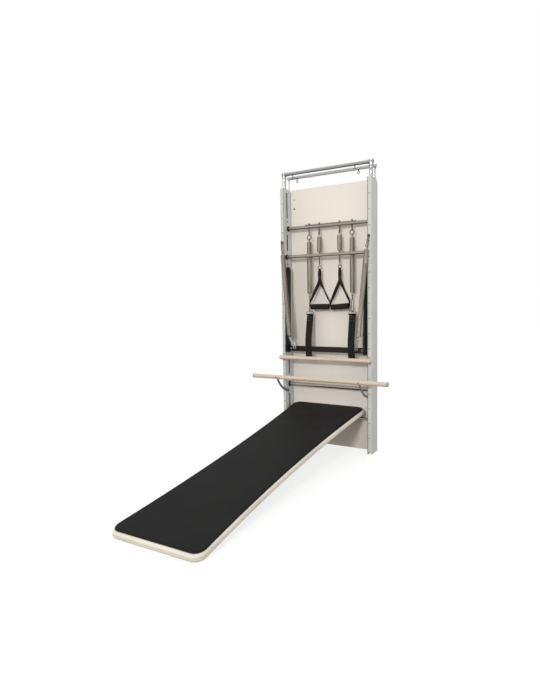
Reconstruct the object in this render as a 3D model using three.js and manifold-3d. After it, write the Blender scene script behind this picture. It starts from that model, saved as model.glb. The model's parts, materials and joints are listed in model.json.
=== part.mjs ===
// Wall-mounted pilates tower unit with its long mat.
// Millimetres. X runs to the right, Y into the wall, Z up. While the pieces are placed, the
// front faces of the posts lie at y = 0; the finished part is moved so that its origin is at
// the middle of its footprint, on the floor.
import * as THREE from "three";
import Module from "manifold-3d";
import { mergeVertices } from "three/addons/utils/BufferGeometryUtils.js";

const wasm = await Module();
wasm.setup();

// Clearances
const seat_gap = 0.3; // between pieces that rest on or against each other
const cut_over = 2; // how far a cutting solid runs past the material
const wire_gap = 0.4; // least room between one turn of a wire and the next

// Posts: rectangular tubes with the back top corner and the front foot corner rounded
const tower_width = 736;
const post_height = 2000;
const post_width = 30;
const post_depth = 128;
const post_wall = 2.2;
const post_top_round = 45;
const post_foot_round = 24;
const hole_row_y = 50;
const hole_radius = 4;
const hole_offset = 53; // from a crossbar to the holes above and below it
const slot_width = 8;
const top_slot_drop = 219; // from the post's top to the slot's bottom
const top_slot_length = 190;
const mid_slot_length = 110;
const low_slot_bottom = 563;
const low_slot_length = 107;
const foot_slot_bottom = 290;
const foot_slot_length = 110;

// Back panel
const panel_thickness = 10;
const panel_floor_gap = 2;
const panel_edge_round = 1.5;

// Crossbars
const bar_radius = 12.5;
const bar_flange_radius = 21;
const bar_flange_length = 8;
const bar_flange_round = 2;
const bar_strip_left_x = -185; // a flat strip on top of the upper crossbar, under the nuts
const bar_strip_right_x = 229;
const bar_strip_width = 20;
const bar_strip_height = 6.5;
const bar_strip_tuck = 3; // how far it is let into the bar
const upper_bar_drop = 302; // from the posts' top
const upper_bar_y = 63;
const middle_bar_drop = 522;
const middle_bar_y = 30;
const lower_bar_z = 478;
const support_bar_z = 255;
const support_bar_y = 62;

// Top frame: two tubes across, each on two legs that stand in the posts
const top_tube_radius = 12.5;
const front_tube_y = 40;
const front_tube_rise = 108; // above the posts' top
const front_leg_insert = 215;
const top_elbow_radius = 15;
const top_elbow_reach = 27; // from the corner, both ways
const rear_tube_y = 115;
const rear_tube_rise = 92;
const rear_leg_radius = 6;
const rear_leg_insert = 110;

// Eyes under the top frame
const top_eye_left_x = -278;
const top_eye_right_x = 229;
const top_eye_radius = 8;
const top_eye_wire = 2.6;
const top_eye_front_stem = 14;
const top_eye_rear_stem = 7.5;
const top_eye_collar_radius = 6;
const top_eye_collar = 4;

// Eyebolts through the upper crossbar
const long_left_x = -154;
const long_right_x = 198;
const short_left_x = -68;
const short_right_x = 99;
const eyebolt_stem_radius = 3.5;
const eyebolt_hole_gap = 0.3;
const eyebolt_wire = 3.6;
const eyebolt_nut_radius = 8.5;
const eyebolt_nut_height = 8;
const eyebolt_tip = 4;
const long_eye_radius = 17;
const long_left_eye_drop = 80; // below the crossbar's middle
const long_right_eye_drop = 68;
const short_eye_radius = 10;
const short_eye_drop = 53;

// Springs
const spring_outer_radius = 19;
const side_spring_radius = 18;
const spring_wire = 2.6;
const spring_loop_radius = 8;
const spring_sides = 5;
const spring_curl_steps = 8;
const spring_loop_turn_share = 0.875;
const spring_loop_steps = 7;
const spring_neck = 7; // from the last full curl to the end loop
const long_spring_curls = 17;
const short_spring_curls = 5;
const side_spring_curls = 15;
const long_spring_bottom_drop = 508; // of its last curl, below the crossbar's middle
const short_spring_bottom_drop = 194;
const spring_gap_steps = 4; // of the wire, that count as its next turn

// Snap hooks, rings and leg straps of the long springs
const hook_wire = 3;
const hook_half_width = 11;
const hook_bevel = 1.4;
const hook_eye_radius = 7.5;
const hook_neck = 12;
const hook_neck_radius = 3.1;
const d_ring_width = 66;
const d_ring_height = 34;
const d_ring_wire = 2.7;
const d_ring_bar_drop = 669; // below the crossbar's middle
const d_ring_shoulder = 9;
const d_ring_sag = 0.3; // of its inner edge, across the width of the hook
const leg_strap_width = 54;
const leg_strap_half = 2.4;
const leg_strap_fold_radius = 4.4;
const leg_strap_fold_drop = 13;
const leg_strap_length = 348; // from the ring's bar to its free end
const leg_strap_front_gap = 0.6;
const leg_strap_drape = 34;
const leg_strap_shift = 17; // sideways, between its ring and its free end

// Stirrup handles of the short springs
const handle_ring_radius = 13;
const handle_ring_wire = 2.8;
const handle_ring_drop = 312; // below the crossbar's middle
const handle_web_width = 25;
const handle_web_half = 1.4;
const handle_fold_radius = 4.6;
const handle_neck_width = 10;
const handle_tab_width = 26;
const handle_tab_shoulder = 6;
const handle_split_drop = 102; // below the ring's middle, where the loop's two legs part
const handle_corner_drop = 264;
const handle_corner_round = 6;
const handle_half_width = 79;
const grip_radius = 21.5;
const grip_bore_radius = 13.2;
const grip_length = 143;
const grip_edge = 3;
const grip_drop = 297;
const left_handle_turn = 10; // degrees about the vertical
const right_handle_turn = -2;
const left_grip_tilt = 0; // degrees out of level
const right_grip_tilt = 4.5;

// Push-through bar: two flat arms and a bar between them, hung on pivots in the posts
const ptb_pivot_y = 24;
const ptb_pivot_drop = 630; // from the posts' top
const ptb_reach = 604; // from the pivots to the middle of the bar
const ptb_lean = 2.1; // degrees forward of plumb
const ptb_arm_thickness = 14;
const ptb_arm_top_width = 60;
const ptb_arm_foot_width = 70;
const ptb_arm_back = 3; // of the arms' middle line, behind the pivots
const ptb_arm_foot = 30; // below the middle of the bar
const ptb_arm_corner = 14;
const ptb_bar_height = 41;
const ptb_bar_depth = 24;
const ptb_bar_round = 5;
const ptb_bar_back = 21; // behind the pivots
const pivot_washer_radius = 17;
const pivot_washer = 9;
const pivot_pin_radius = 7.5;
const pivot_pin_gap = 0.5;
const pivot_head_radius = 13;
const pivot_head = 5;

// Side springs, from an eye on each post to an eye on the push-through bar
const post_eye_drop = 410; // from the posts' top
const side_eye_radius = 9;
const side_eye_wire = 3;
const side_eye_stem = 7;
const side_eye_stem_radius = 3.5;
const side_eye_base_radius = 8;
const side_eye_base = 2.4;
const ptb_eye_x = 253;
const side_spring_top_x = 343.5;
const side_spring_top_y = -23;
const side_spring_top_drop = 483; // from the posts' top
const side_spring_bottom_x = 281;
const side_spring_bottom_y = -38;
const side_spring_bottom_drop = 1154;
const side_link_half_width = 11.5;
const side_link_sag = 1.2; // of one curved wire, across the thickness of the other

// Roll-down bar in its J-hooks
const roll_bar_radius = 15;
const roll_bar_length = 752;
const roll_bar_end_round = 5;
const roll_bar_y = -38;
const roll_bar_drop = 1302; // from the posts' top
const j_hook_x = 356;
const j_hook_width = 14;
const j_hook_strip = 3;
const j_hook_plate_top = 30; // above the bar's middle
const j_hook_lip = 50; // degrees up from the bottom, on the open side

// Barre on two curved arms
const barre_radius = 16;
const barre_length = 1070;
const barre_y = -155;
const barre_z = 558;
const barre_cap_length = 12;
const barre_cap_radius = 16.6;
const barre_cap_round = 4;
const barre_arm_thickness = 6;
const barre_arm_half = 9;
const barre_foot_y = 20;
const barre_foot_z = 430;
const barre_foot_radius = 14;
const barre_arm_low_y = -40;
const barre_arm_low_z = 446;
const barre_arm_high_y = -112;
const barre_arm_high_z = 500;

// Mat: an upholstered base with a thin top, on two hooks over the support bar
const mat_base_length = 2009;
const mat_base_width = 602; // at the head
const mat_waist_width = 511; // at its narrowest
const mat_waist_share = 0.465; // of its length, from the near end to the narrowest place
const mat_base_thickness = 37;
const mat_base_corner = 62;
const mat_least_corner = 4;
const mat_base_edge = 15;
const mat_side_draw = 1.5; // how far the side is drawn in between its rounded edges
const mat_top_inset = 7;
const mat_top_near_inset = 16;
const mat_top_thickness = 10;
const mat_top_edge = 5;
const mat_top_corner = 56;
const mat_crown = 2.4;
const mat_crown_shares = [[0.13, 0.45], [0.36, 0.85], [0.72, 1]]; // of the half width and the crown
const mat_head_past_bar = 30;
const mat_corner_steps = 5;
const mat_side_steps = 10;
const mat_end_steps = 3;
const mat_edge_steps = 3;
const mat_hook_inset = 101; // from the base's side at the head
const mat_hook_width = 24;
const mat_hook_strip = 5;
const mat_hook_plate = 18;
const mat_hook_play = 0.4;
const mat_hook_leg = 9;
const mat_hook_plate_half = 34;

// Facets
const round_sides = 16;
const wire_sides = 6;
const ring_steps = 12;
const arc_steps = 3;
const bend_steps = 4;
const hole_sides = 8;

// Places that follow from the sizes above
const inner_x = tower_width / 2 - post_width;
const post_middle_x = tower_width / 2 - post_width / 2;
const rear_leg_y = post_depth - post_wall - seat_gap - rear_leg_radius;
const front_tube_z = post_height + front_tube_rise;
const rear_tube_z = post_height + rear_tube_rise;
const top_slot_bottom = post_height - top_slot_drop;
const upper_bar_z = post_height - upper_bar_drop;
const middle_bar_z = post_height - middle_bar_drop;
const short_eye_z = upper_bar_z - short_eye_drop;
const d_ring_bar_z = upper_bar_z - d_ring_bar_drop;
const leg_strap_bottom_z = d_ring_bar_z - leg_strap_length;
const handle_ring_z = upper_bar_z - handle_ring_drop;
const ptb_pivot_z = post_height - ptb_pivot_drop;
const post_eye_z = post_height - post_eye_drop;
const side_spring_top_z = post_height - side_spring_top_drop;
const side_spring_bottom_z = post_height - side_spring_bottom_drop;
const roll_bar_z = post_height - roll_bar_drop;
const mat_hook_x = mat_base_width / 2 - mat_hook_inset;
const degree = Math.PI / 180;

const materials = {
  post: { color: 0xb9bab6, roughness: 0.45, metalness: 0.6 },
  chrome: { color: 0xc9c8c4, roughness: 0.18, metalness: 1 },
  steel: { color: 0xa9a8a2, roughness: 0.35, metalness: 0.9 },
  spring: { color: 0x8f8b82, roughness: 0.4, metalness: 0.8 },
  black: { color: 0x1d1c1b, roughness: 0.5, metalness: 0.2 },
  dark: { color: 0x4a4a48, roughness: 0.5, metalness: 0.5 },
  panel: { color: 0xded6c8, roughness: 0.7, metalness: 0 },
  wood: { color: 0xd2bd9d, roughness: 0.55, metalness: 0 },
  cap: { color: 0x9c9a94, roughness: 0.5, metalness: 0.1 },
  webbing: { color: 0x1a1a1d, roughness: 0.85, metalness: 0 },
  foam: { color: 0x24211f, roughness: 0.8, metalness: 0 },
  mat: { color: 0x2c2a2a, roughness: 0.75, metalness: 0 },
  cream: { color: 0xded8c9, roughness: 0.75, metalness: 0 },
};

const part = new THREE.Group();

function add(name, geometry, look, parent = part) {
  const mesh = new THREE.Mesh(geometry, new THREE.MeshStandardMaterial(materials[look]));
  mesh.name = name;
  parent.add(mesh);
  return mesh;
}

// Booleans
function solid(geometry) {
  const bare = geometry.clone();
  bare.deleteAttribute("normal");
  bare.deleteAttribute("uv");
  const merged = mergeVertices(bare);
  return new wasm.Manifold(new wasm.Mesh({
    numProp: 3,
    vertProperties: new Float32Array(merged.attributes.position.array),
    triVerts: new Uint32Array(merged.index.array),
  }));
}

function surface(body) {
  const mesh = body.getMesh();
  const geometry = new THREE.BufferGeometry();
  geometry.setAttribute("position", new THREE.BufferAttribute(mesh.vertProperties, 3));
  geometry.setIndex(new THREE.BufferAttribute(mesh.triVerts, 1));
  geometry.computeVertexNormals();
  return geometry;
}

function joined(geometries) {
  return surface(geometries.map(solid).reduce((body, next) => body.add(next)));
}

function cut(geometry, tools) {
  return surface(tools.map(solid).reduce((body, tool) => body.subtract(tool), solid(geometry)));
}

// A flat outline given in the YZ plane, extruded along X about the given middle
function plate_yz(shape, thickness, middle_x, bevel = 0, bevel_steps = 1, segments = bend_steps) {
  const geometry = new THREE.ExtrudeGeometry(shape, {
    depth: thickness - 2 * bevel,
    bevelEnabled: bevel > 0,
    bevelSize: bevel,
    bevelThickness: bevel,
    bevelOffset: -bevel,
    bevelSegments: bevel_steps,
    curveSegments: segments,
  });
  geometry.translate(0, 0, bevel - thickness / 2);
  geometry.rotateX(Math.PI / 2);
  geometry.rotateZ(Math.PI / 2);
  return geometry.translate(middle_x, 0, 0);
}

// A flat outline given in the XZ plane, extruded along Y about the given middle
function plate_xz(shape, thickness, middle_y, bevel = 0, segments = bend_steps) {
  const geometry = new THREE.ExtrudeGeometry(shape, {
    depth: thickness - 2 * bevel,
    bevelEnabled: bevel > 0,
    bevelSize: bevel,
    bevelThickness: bevel,
    bevelOffset: -bevel,
    bevelSegments: 1,
    curveSegments: segments,
  });
  geometry.translate(0, 0, bevel - thickness / 2);
  geometry.rotateX(Math.PI / 2);
  return geometry.translate(0, middle_y, 0);
}

function rod(radius, length, axis, sides = round_sides) {
  const geometry = new THREE.CylinderGeometry(radius, radius, length, sides);
  if (axis === "x") geometry.rotateZ(Math.PI / 2);
  if (axis === "z") geometry.rotateX(Math.PI / 2);
  return geometry;
}

// A turned piece about the X axis; the profile lists [radius, x]
function turned_x(profile, sides = round_sides) {
  const points = profile.map(([radius, x]) => new THREE.Vector2(radius, x));
  if (THREE.ShapeUtils.area(points) < 0) points.reverse();
  const geometry = new THREE.LatheGeometry(points, sides);
  return geometry.rotateZ(-Math.PI / 2);
}

// A ring of round wire; its hole faces along the given axis
function ring(radius, wire, axis) {
  const geometry = new THREE.TorusGeometry(radius, wire, wire_sides, ring_steps);
  if (axis === "x") geometry.rotateY(Math.PI / 2);
  if (axis === "y") geometry.rotateX(Math.PI / 2);
  return geometry;
}

function rounded_rect(width, height, radius) {
  const x = width / 2;
  const y = height / 2;
  const shape = new THREE.Shape();
  shape.moveTo(radius - x, -y);
  shape.lineTo(x - radius, -y);
  shape.absarc(x - radius, radius - y, radius, -Math.PI / 2, 0);
  shape.lineTo(x, y - radius);
  shape.absarc(x - radius, y - radius, radius, 0, Math.PI / 2);
  shape.lineTo(radius - x, y);
  shape.absarc(radius - x, y - radius, radius, Math.PI / 2, Math.PI);
  shape.lineTo(-x, radius - y);
  shape.absarc(radius - x, radius - y, radius, Math.PI, 3 * Math.PI / 2);
  return shape;
}

function stadium(half_width, half_length) {
  const straight = half_length - half_width;
  const shape = new THREE.Shape();
  shape.absarc(0, straight, half_width, 0, Math.PI);
  shape.absarc(0, -straight, half_width, Math.PI, 2 * Math.PI);
  return shape;
}

// The outline of a strip of even thickness along a line of points
function strip(points, half) {
  const left = [];
  const right = [];
  points.forEach((point, i) => {
    const before = points[Math.max(i - 1, 0)];
    const after = points[Math.min(i + 1, points.length - 1)];
    const along = after.clone().sub(before).normalize();
    const side = new THREE.Vector2(-along.y, along.x).multiplyScalar(half);
    left.push(point.clone().add(side));
    right.unshift(point.clone().sub(side));
  });
  return [...left, ...right];
}

// A shape made of a list of points, turned to run anticlockwise
function outline(points, holes = []) {
  const shape = new THREE.Shape(THREE.ShapeUtils.isClockWise(points) ? [...points].reverse() : points);
  shape.holes = holes;
  return shape;
}

function circle_path(x, y, radius) {
  const path = new THREE.Path();
  path.absarc(x, y, radius, 0, 2 * Math.PI);
  return path;
}

function flat(y, z) {
  return new THREE.Vector2(y, z);
}

// Posts
function post(side) {
  const shape = new THREE.Shape();
  shape.moveTo(post_foot_round, 0);
  shape.lineTo(post_depth, 0);
  shape.lineTo(post_depth, post_height - post_top_round);
  shape.absarc(post_depth - post_top_round, post_height - post_top_round, post_top_round, 0, Math.PI / 2);
  shape.lineTo(0, post_height);
  shape.lineTo(0, post_foot_round);
  shape.absarc(post_foot_round, post_foot_round, post_foot_round, Math.PI, 3 * Math.PI / 2);
  const outer = plate_yz(shape, post_width, side * post_middle_x);
  const hollow = new THREE.BoxGeometry(
    post_width - 2 * post_wall,
    post_depth - 2 * post_wall,
    post_height + 2 * cut_over,
  ).translate(side * post_middle_x, post_depth / 2, post_height / 2);
  const wall_x = side * inner_x;
  const drill = 2 * (post_wall + cut_over);
  const holes = [upper_bar_z, middle_bar_z].flatMap((z) => [z - hole_offset, z + hole_offset]);
  const round_cuts = holes.map((z) => rod(hole_radius, drill, "x", hole_sides)
    .translate(wall_x, hole_row_y, z));
  const between = (upper_bar_z + middle_bar_z) / 2;
  const slots = [
    [top_slot_bottom, top_slot_length],
    [between - mid_slot_length / 2, mid_slot_length],
    [low_slot_bottom, low_slot_length],
    [foot_slot_bottom, foot_slot_length],
  ];
  const slot_cuts = slots.map(([bottom, length]) => plate_yz(
    stadium(slot_width / 2, length / 2), drill, wall_x, 0, 1, arc_steps - 1,
  ).translate(0, hole_row_y, bottom + length / 2));
  return cut(outer, [hollow, ...round_cuts, ...slot_cuts]);
}

add("post_left", post(-1), "post");
add("post_right", post(1), "post");

// Back panel, between the posts and level with their backs
const panel_y = post_depth - panel_thickness;
const panel_height = post_height - panel_floor_gap;
const panel_width = 2 * (inner_x - seat_gap);
const panel_shape = rounded_rect(panel_width, panel_height, panel_edge_round);
add("back_panel", plate_xz(panel_shape, panel_thickness, panel_y + panel_thickness / 2, 0, 2)
  .translate(0, 0, panel_floor_gap + panel_height / 2), "panel");

// Crossbars, each with a flange against either post
function crossbar(y, z) {
  const end = inner_x - seat_gap;
  const neck = end - bar_flange_length;
  const half = [
    [0, end],
    [bar_flange_radius, end],
    [bar_flange_radius, neck + bar_flange_round],
    [bar_flange_radius - bar_flange_round, neck],
    [bar_radius, neck],
  ];
  const other = half.map(([radius, x]) => [radius, -x]).reverse();
  return turned_x([...half, ...other]).translate(0, y, z);
}

const long_eye = { radius: long_eye_radius, axis: "y" };
const short_eye = { radius: short_eye_radius, z: short_eye_z, axis: "x" };
const eyebolts = [
  { name: "eyebolt_long_left", x: long_left_x, z: upper_bar_z - long_left_eye_drop, ...long_eye },
  { name: "eyebolt_short_left", x: short_left_x, ...short_eye },
  { name: "eyebolt_short_right", x: short_right_x, ...short_eye },
  { name: "eyebolt_long_right", x: long_right_x, z: upper_bar_z - long_right_eye_drop, ...long_eye },
];
const strip_bottom_z = upper_bar_z + bar_radius - bar_strip_tuck;
const strip_top_z = strip_bottom_z + bar_strip_height;
const bar_strip = new THREE.BoxGeometry(
  bar_strip_right_x - bar_strip_left_x, bar_strip_width, bar_strip_height,
).translate((bar_strip_left_x + bar_strip_right_x) / 2, upper_bar_y, (strip_bottom_z + strip_top_z) / 2);
const upper_bar_cuts = eyebolts.map(({ x }) => rod(
  eyebolt_stem_radius + eyebolt_hole_gap, 2 * (strip_top_z - upper_bar_z + cut_over), "z", hole_sides,
).translate(x, upper_bar_y, upper_bar_z));
const upper_bar = joined([crossbar(upper_bar_y, upper_bar_z), bar_strip]);
add("crossbar_upper", cut(upper_bar, upper_bar_cuts), "chrome");
add("crossbar_middle", crossbar(middle_bar_y, middle_bar_z), "chrome");
add("crossbar_lower", crossbar(hole_row_y, lower_bar_z), "chrome");
add("mat_support_bar", crossbar(support_bar_y, support_bar_z), "chrome");

// One unbroken tube through a list of points, closed flat at both ends
function swept(points, radius, sides) {
  const last = points.length - 1;
  const tangents = points.map((point, i) => points[Math.min(i + 1, last)].clone()
    .sub(points[Math.max(i - 1, 0)]).normalize());
  const first = tangents[0];
  const upright = Math.abs(first.z) > Math.SQRT1_2;
  const helper = upright ? new THREE.Vector3(1, 0, 0) : new THREE.Vector3(0, 0, 1);
  let normal = helper.clone().addScaledVector(first, -helper.dot(first)).normalize();
  const positions = [];
  tangents.forEach((tangent, i) => {
    normal = normal.clone().addScaledVector(tangent, -normal.dot(tangent)).normalize();
    const binormal = tangent.clone().cross(normal);
    const before = i > 0 ? points[i].clone().sub(points[i - 1]).normalize() : tangent;
    const stretch = 1 / Math.max(before.dot(tangent), Math.SQRT1_2);
    const bend = tangent.clone().sub(before);
    const across = bend.lengthSq() > 0 ? bend.normalize() : null;
    for (let k = 0; k < sides; k += 1) {
      const angle = 2 * Math.PI * k / sides;
      const offset = normal.clone().multiplyScalar(radius * Math.cos(angle))
        .addScaledVector(binormal, radius * Math.sin(angle));
      if (across) {
        const along = across.clone().addScaledVector(tangent, -across.dot(tangent)).normalize();
        offset.addScaledVector(along, offset.dot(along) * (stretch - 1));
      }
      positions.push(points[i].x + offset.x, points[i].y + offset.y, points[i].z + offset.z);
    }
  });
  const triangles = [];
  for (let i = 0; i < last; i += 1) {
    for (let k = 0; k < sides; k += 1) {
      const next = (k + 1) % sides;
      const a = i * sides + k;
      const b = i * sides + next;
      triangles.push(a, b, a + sides, b, b + sides, a + sides);
    }
  }
  for (let k = 1; k < sides - 1; k += 1) {
    triangles.push(0, k + 1, k);
    triangles.push(last * sides, last * sides + k, last * sides + k + 1);
  }
  const geometry = new THREE.BufferGeometry();
  geometry.setAttribute("position", new THREE.Float32BufferAttribute(positions, 3));
  geometry.setIndex(triangles);
  geometry.computeVertexNormals();
  return geometry;
}

// Top frame: a tube across, with a leg down into each post
function top_frame(y, z, leg_y, leg_radius, leg_foot, sides, elbows = []) {
  const across = rod(top_tube_radius, 2 * (post_middle_x + top_tube_radius), "x").translate(0, y, z);
  const leg_top = z + (leg_radius < top_tube_radius ? 0 : leg_radius);
  const legs = [-1, 1].map((side) => rod(leg_radius, leg_top - leg_foot, "z", sides)
    .translate(side * post_middle_x, leg_y, (leg_top + leg_foot) / 2));
  return joined([across, ...legs, ...elbows]);
}

const elbow_length = top_elbow_reach + top_elbow_radius;
const elbow_shift = elbow_length / 2 - top_elbow_radius;
const front_elbows = [-1, 1].flatMap((side) => [
  rod(top_elbow_radius, elbow_length, "x")
    .translate(side * (post_middle_x - elbow_shift), front_tube_y, front_tube_z),
  rod(top_elbow_radius, elbow_length, "z")
    .translate(side * post_middle_x, front_tube_y, front_tube_z - elbow_shift),
]);
add("top_frame_front", top_frame(
  front_tube_y, front_tube_z, front_tube_y, top_tube_radius, post_height - front_leg_insert, round_sides,
  front_elbows,
), "post");
add("top_frame_rear", top_frame(
  rear_tube_y, rear_tube_z, rear_leg_y, rear_leg_radius, post_height - rear_leg_insert, hole_sides,
), "post");

// Eyes hung under the top frame
function top_eye(x, y, tube_bottom, stem_length) {
  const collar_z = tube_bottom - seat_gap - top_eye_collar / 2;
  const stem_top = collar_z;
  const stem_bottom = stem_top - stem_length;
  const ring_z = stem_bottom - top_eye_radius;
  const stem = rod(top_eye_wire, stem_top - stem_bottom, "z", wire_sides)
    .translate(x, y, (stem_top + stem_bottom) / 2);
  const collar = rod(top_eye_collar_radius, top_eye_collar, "z", hole_sides).translate(x, y, collar_z);
  return joined([ring(top_eye_radius, top_eye_wire, "y").translate(x, y, ring_z), stem, collar]);
}

const top_eye_places = [["left", top_eye_left_x], ["right", top_eye_right_x]];
const front_tube_bottom = front_tube_z - top_tube_radius;
const rear_tube_bottom = rear_tube_z - top_tube_radius;
for (const [side, x] of top_eye_places) {
  add(`top_eye_front_${side}`, top_eye(x, front_tube_y, front_tube_bottom, top_eye_front_stem), "steel");
  add(`top_eye_rear_${side}`, top_eye(x, rear_tube_y, rear_tube_bottom, top_eye_rear_stem), "steel");
}

// Eyebolts in the upper crossbar, each held by a nut on top
function eyebolt({ x, radius, z, axis }) {
  const y = upper_bar_y;
  const nut_bottom = strip_top_z + seat_gap;
  const stem_top = nut_bottom + eyebolt_nut_height + eyebolt_tip;
  const stem_bottom = z + radius;
  const stem = rod(eyebolt_stem_radius, stem_top - stem_bottom, "z", hole_sides)
    .translate(x, y, (stem_top + stem_bottom) / 2);
  const nut = rod(eyebolt_nut_radius, eyebolt_nut_height, "z", 6)
    .translate(x, y, nut_bottom + eyebolt_nut_height / 2);
  return joined([ring(radius, eyebolt_wire, axis).translate(x, y, z), stem, nut]);
}

for (const bolt of eyebolts) add(bolt.name, eyebolt(bolt), "steel");

// Springs. Each is one wire: an end loop, a neck, the curls, a neck and another loop.
// The loops' outermost points lie at top and bottom; the top loop lies in the plane of the
// axis and top_side, the bottom loop in that of the axis and bottom_side.
function spring_points({ top, bottom, top_side, bottom_side, outer, curls, shank = 0 }) {
  const axis = top.clone().sub(bottom);
  const length = axis.length();
  axis.normalize();
  const u = top_side.clone().addScaledVector(axis, -top_side.dot(axis)).normalize();
  const v = axis.clone().cross(u);
  const end_u = bottom_side.clone().addScaledVector(axis, -bottom_side.dot(axis)).normalize();
  const coil_radius = outer - spring_wire;
  const coil_bottom = 2 * spring_loop_radius + spring_neck + shank;
  const coil_top = length - 2 * spring_loop_radius - spring_neck;
  const at = (x, y, z) => bottom.clone().addScaledVector(u, x).addScaledVector(v, y).addScaledVector(axis, z);
  const points = [];
  const turn = 2 * Math.PI * spring_loop_turn_share;
  const loop = (middle_z, side, sign) => {
    const list = [];
    for (let i = 0; i <= spring_loop_steps; i += 1) {
      const angle = turn * i / spring_loop_steps;
      const across = sign * spring_loop_radius * Math.sin(angle);
      const along = middle_z - sign * spring_loop_radius * Math.cos(angle);
      list.push(bottom.clone().addScaledVector(side, across).addScaledVector(axis, along));
    }
    return list;
  };
  points.push(...loop(spring_loop_radius, end_u, -1).reverse());
  if (shank > 0) points.push(at(0, 0, coil_bottom - spring_neck));
  const steps = curls * spring_curl_steps;
  for (let i = 0; i <= steps; i += 1) {
    const angle = 2 * Math.PI * i / spring_curl_steps;
    const z = coil_bottom + (coil_top - coil_bottom) * i / steps;
    points.push(at(coil_radius * Math.cos(angle), coil_radius * Math.sin(angle), z));
  }
  points.push(...loop(length - spring_loop_radius, u, 1));
  return points;
}

// The least distance between the surfaces of two turns of the same wire
function self_gap(points, radius) {
  let least = Infinity;
  for (let i = 0; i < points.length; i += 1) {
    for (let j = i + spring_gap_steps; j < points.length; j += 1) {
      least = Math.min(least, points[i].distanceTo(points[j]) - 2 * radius);
    }
  }
  return least;
}

function spring(name, layout) {
  const points = spring_points(layout);
  const gap = self_gap(points, spring_wire);
  console.log(`${name}: least gap to itself ${gap.toFixed(2)} mm (at least ${wire_gap})`);
  add(name, swept(points, spring_wire, spring_sides), "spring");
}

const across = new THREE.Vector3(1, 0, 0);
const inward = new THREE.Vector3(0, 1, 0);
const hang = new THREE.Vector3(0, 0, -1);

const long_chains = [
  ["left", long_left_x, long_left_eye_drop],
  ["right", long_right_x, long_right_eye_drop],
];
const long_hold = long_eye_radius - eyebolt_wire - spring_wire - seat_gap;
const long_bottom_z = upper_bar_z - long_spring_bottom_drop - spring_neck - 2 * spring_loop_radius;
for (const [side, x, drop] of long_chains) {
  spring(`spring_long_${side}`, {
    top: new THREE.Vector3(x, upper_bar_y, upper_bar_z - drop - long_hold),
    bottom: new THREE.Vector3(x, upper_bar_y, long_bottom_z),
    top_side: inward,
    bottom_side: across,
    outer: spring_outer_radius,
    curls: long_spring_curls,
  });
}

const short_top_z = short_eye_z - short_eye_radius + eyebolt_wire + spring_wire + seat_gap;
const short_bottom_z = handle_ring_z + handle_ring_radius - handle_ring_wire - spring_wire - seat_gap;
const short_shank = upper_bar_z - short_spring_bottom_drop - short_bottom_z
  - 2 * spring_loop_radius - spring_neck;
const short_chains = [
  ["left", short_left_x, left_handle_turn, left_grip_tilt],
  ["right", short_right_x, right_handle_turn, right_grip_tilt],
];
for (const [side, x, turn] of short_chains) {
  spring(`spring_short_${side}`, {
    top: new THREE.Vector3(x, upper_bar_y, short_top_z),
    bottom: new THREE.Vector3(x, upper_bar_y, short_bottom_z),
    top_side: across,
    bottom_side: inward.clone().applyAxisAngle(hang, -turn * degree),
    outer: spring_outer_radius,
    curls: short_spring_curls,
    shank: short_shank,
  });
}

// A flat closed link whose wire's outermost middle points are the two given
function link(from, to, half_width, wire, face) {
  const axis = from.clone().sub(to);
  const half = axis.length() / 2;
  axis.normalize();
  const shape = stadium(half_width + wire, half + wire);
  shape.holes = [stadium(half_width - wire, half - wire)];
  const geometry = new THREE.ExtrudeGeometry(shape, {
    depth: 2 * (wire - hook_bevel),
    bevelEnabled: true,
    bevelSize: hook_bevel,
    bevelThickness: hook_bevel,
    bevelOffset: -hook_bevel,
    bevelSegments: 1,
    curveSegments: arc_steps,
  });
  geometry.translate(0, 0, hook_bevel - wire);
  const out = face.clone().addScaledVector(axis, -face.dot(axis)).normalize();
  const wide = axis.clone().cross(out);
  geometry.applyMatrix4(new THREE.Matrix4().makeBasis(wide, axis, out));
  const middle = from.clone().add(to).multiplyScalar(0.5);
  return geometry.translate(middle.x, middle.y, middle.z);
}

// Snap hooks and rings under the long springs
const d_ring_top_z = d_ring_bar_z + d_ring_height - 2 * d_ring_wire;
const hook_bottom_z = d_ring_top_z - d_ring_sag - hook_wire - d_ring_wire - seat_gap;
const hook_eye_top_z = long_bottom_z + spring_wire + hook_wire + seat_gap;
const hook_eye_z = hook_eye_top_z - hook_eye_radius;
const hook_link_top_z = hook_eye_z - hook_eye_radius - hook_neck;
for (const [side, x] of long_chains) {
  const y = upper_bar_y;
  const loop = link(
    new THREE.Vector3(x, y, hook_link_top_z), new THREE.Vector3(x, y, hook_bottom_z),
    hook_half_width, hook_wire, across,
  );
  const eye = ring(hook_eye_radius, hook_wire, "x").translate(x, y, hook_eye_z);
  const neck_top = hook_eye_z - hook_eye_radius;
  const neck = rod(hook_neck_radius, neck_top - hook_link_top_z, "z", hole_sides)
    .translate(x, y, (neck_top + hook_link_top_z) / 2);
  add(`snap_hook_${side}`, joined([loop, eye, neck]), "steel");
}

function d_shape(half, height, shoulder) {
  const shape = new THREE.Shape();
  shape.moveTo(-half, 0);
  shape.lineTo(half, 0);
  shape.lineTo(half, shoulder);
  shape.absellipse(0, shoulder, half, height - shoulder, 0, Math.PI);
  shape.lineTo(-half, 0);
  return shape;
}

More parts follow.
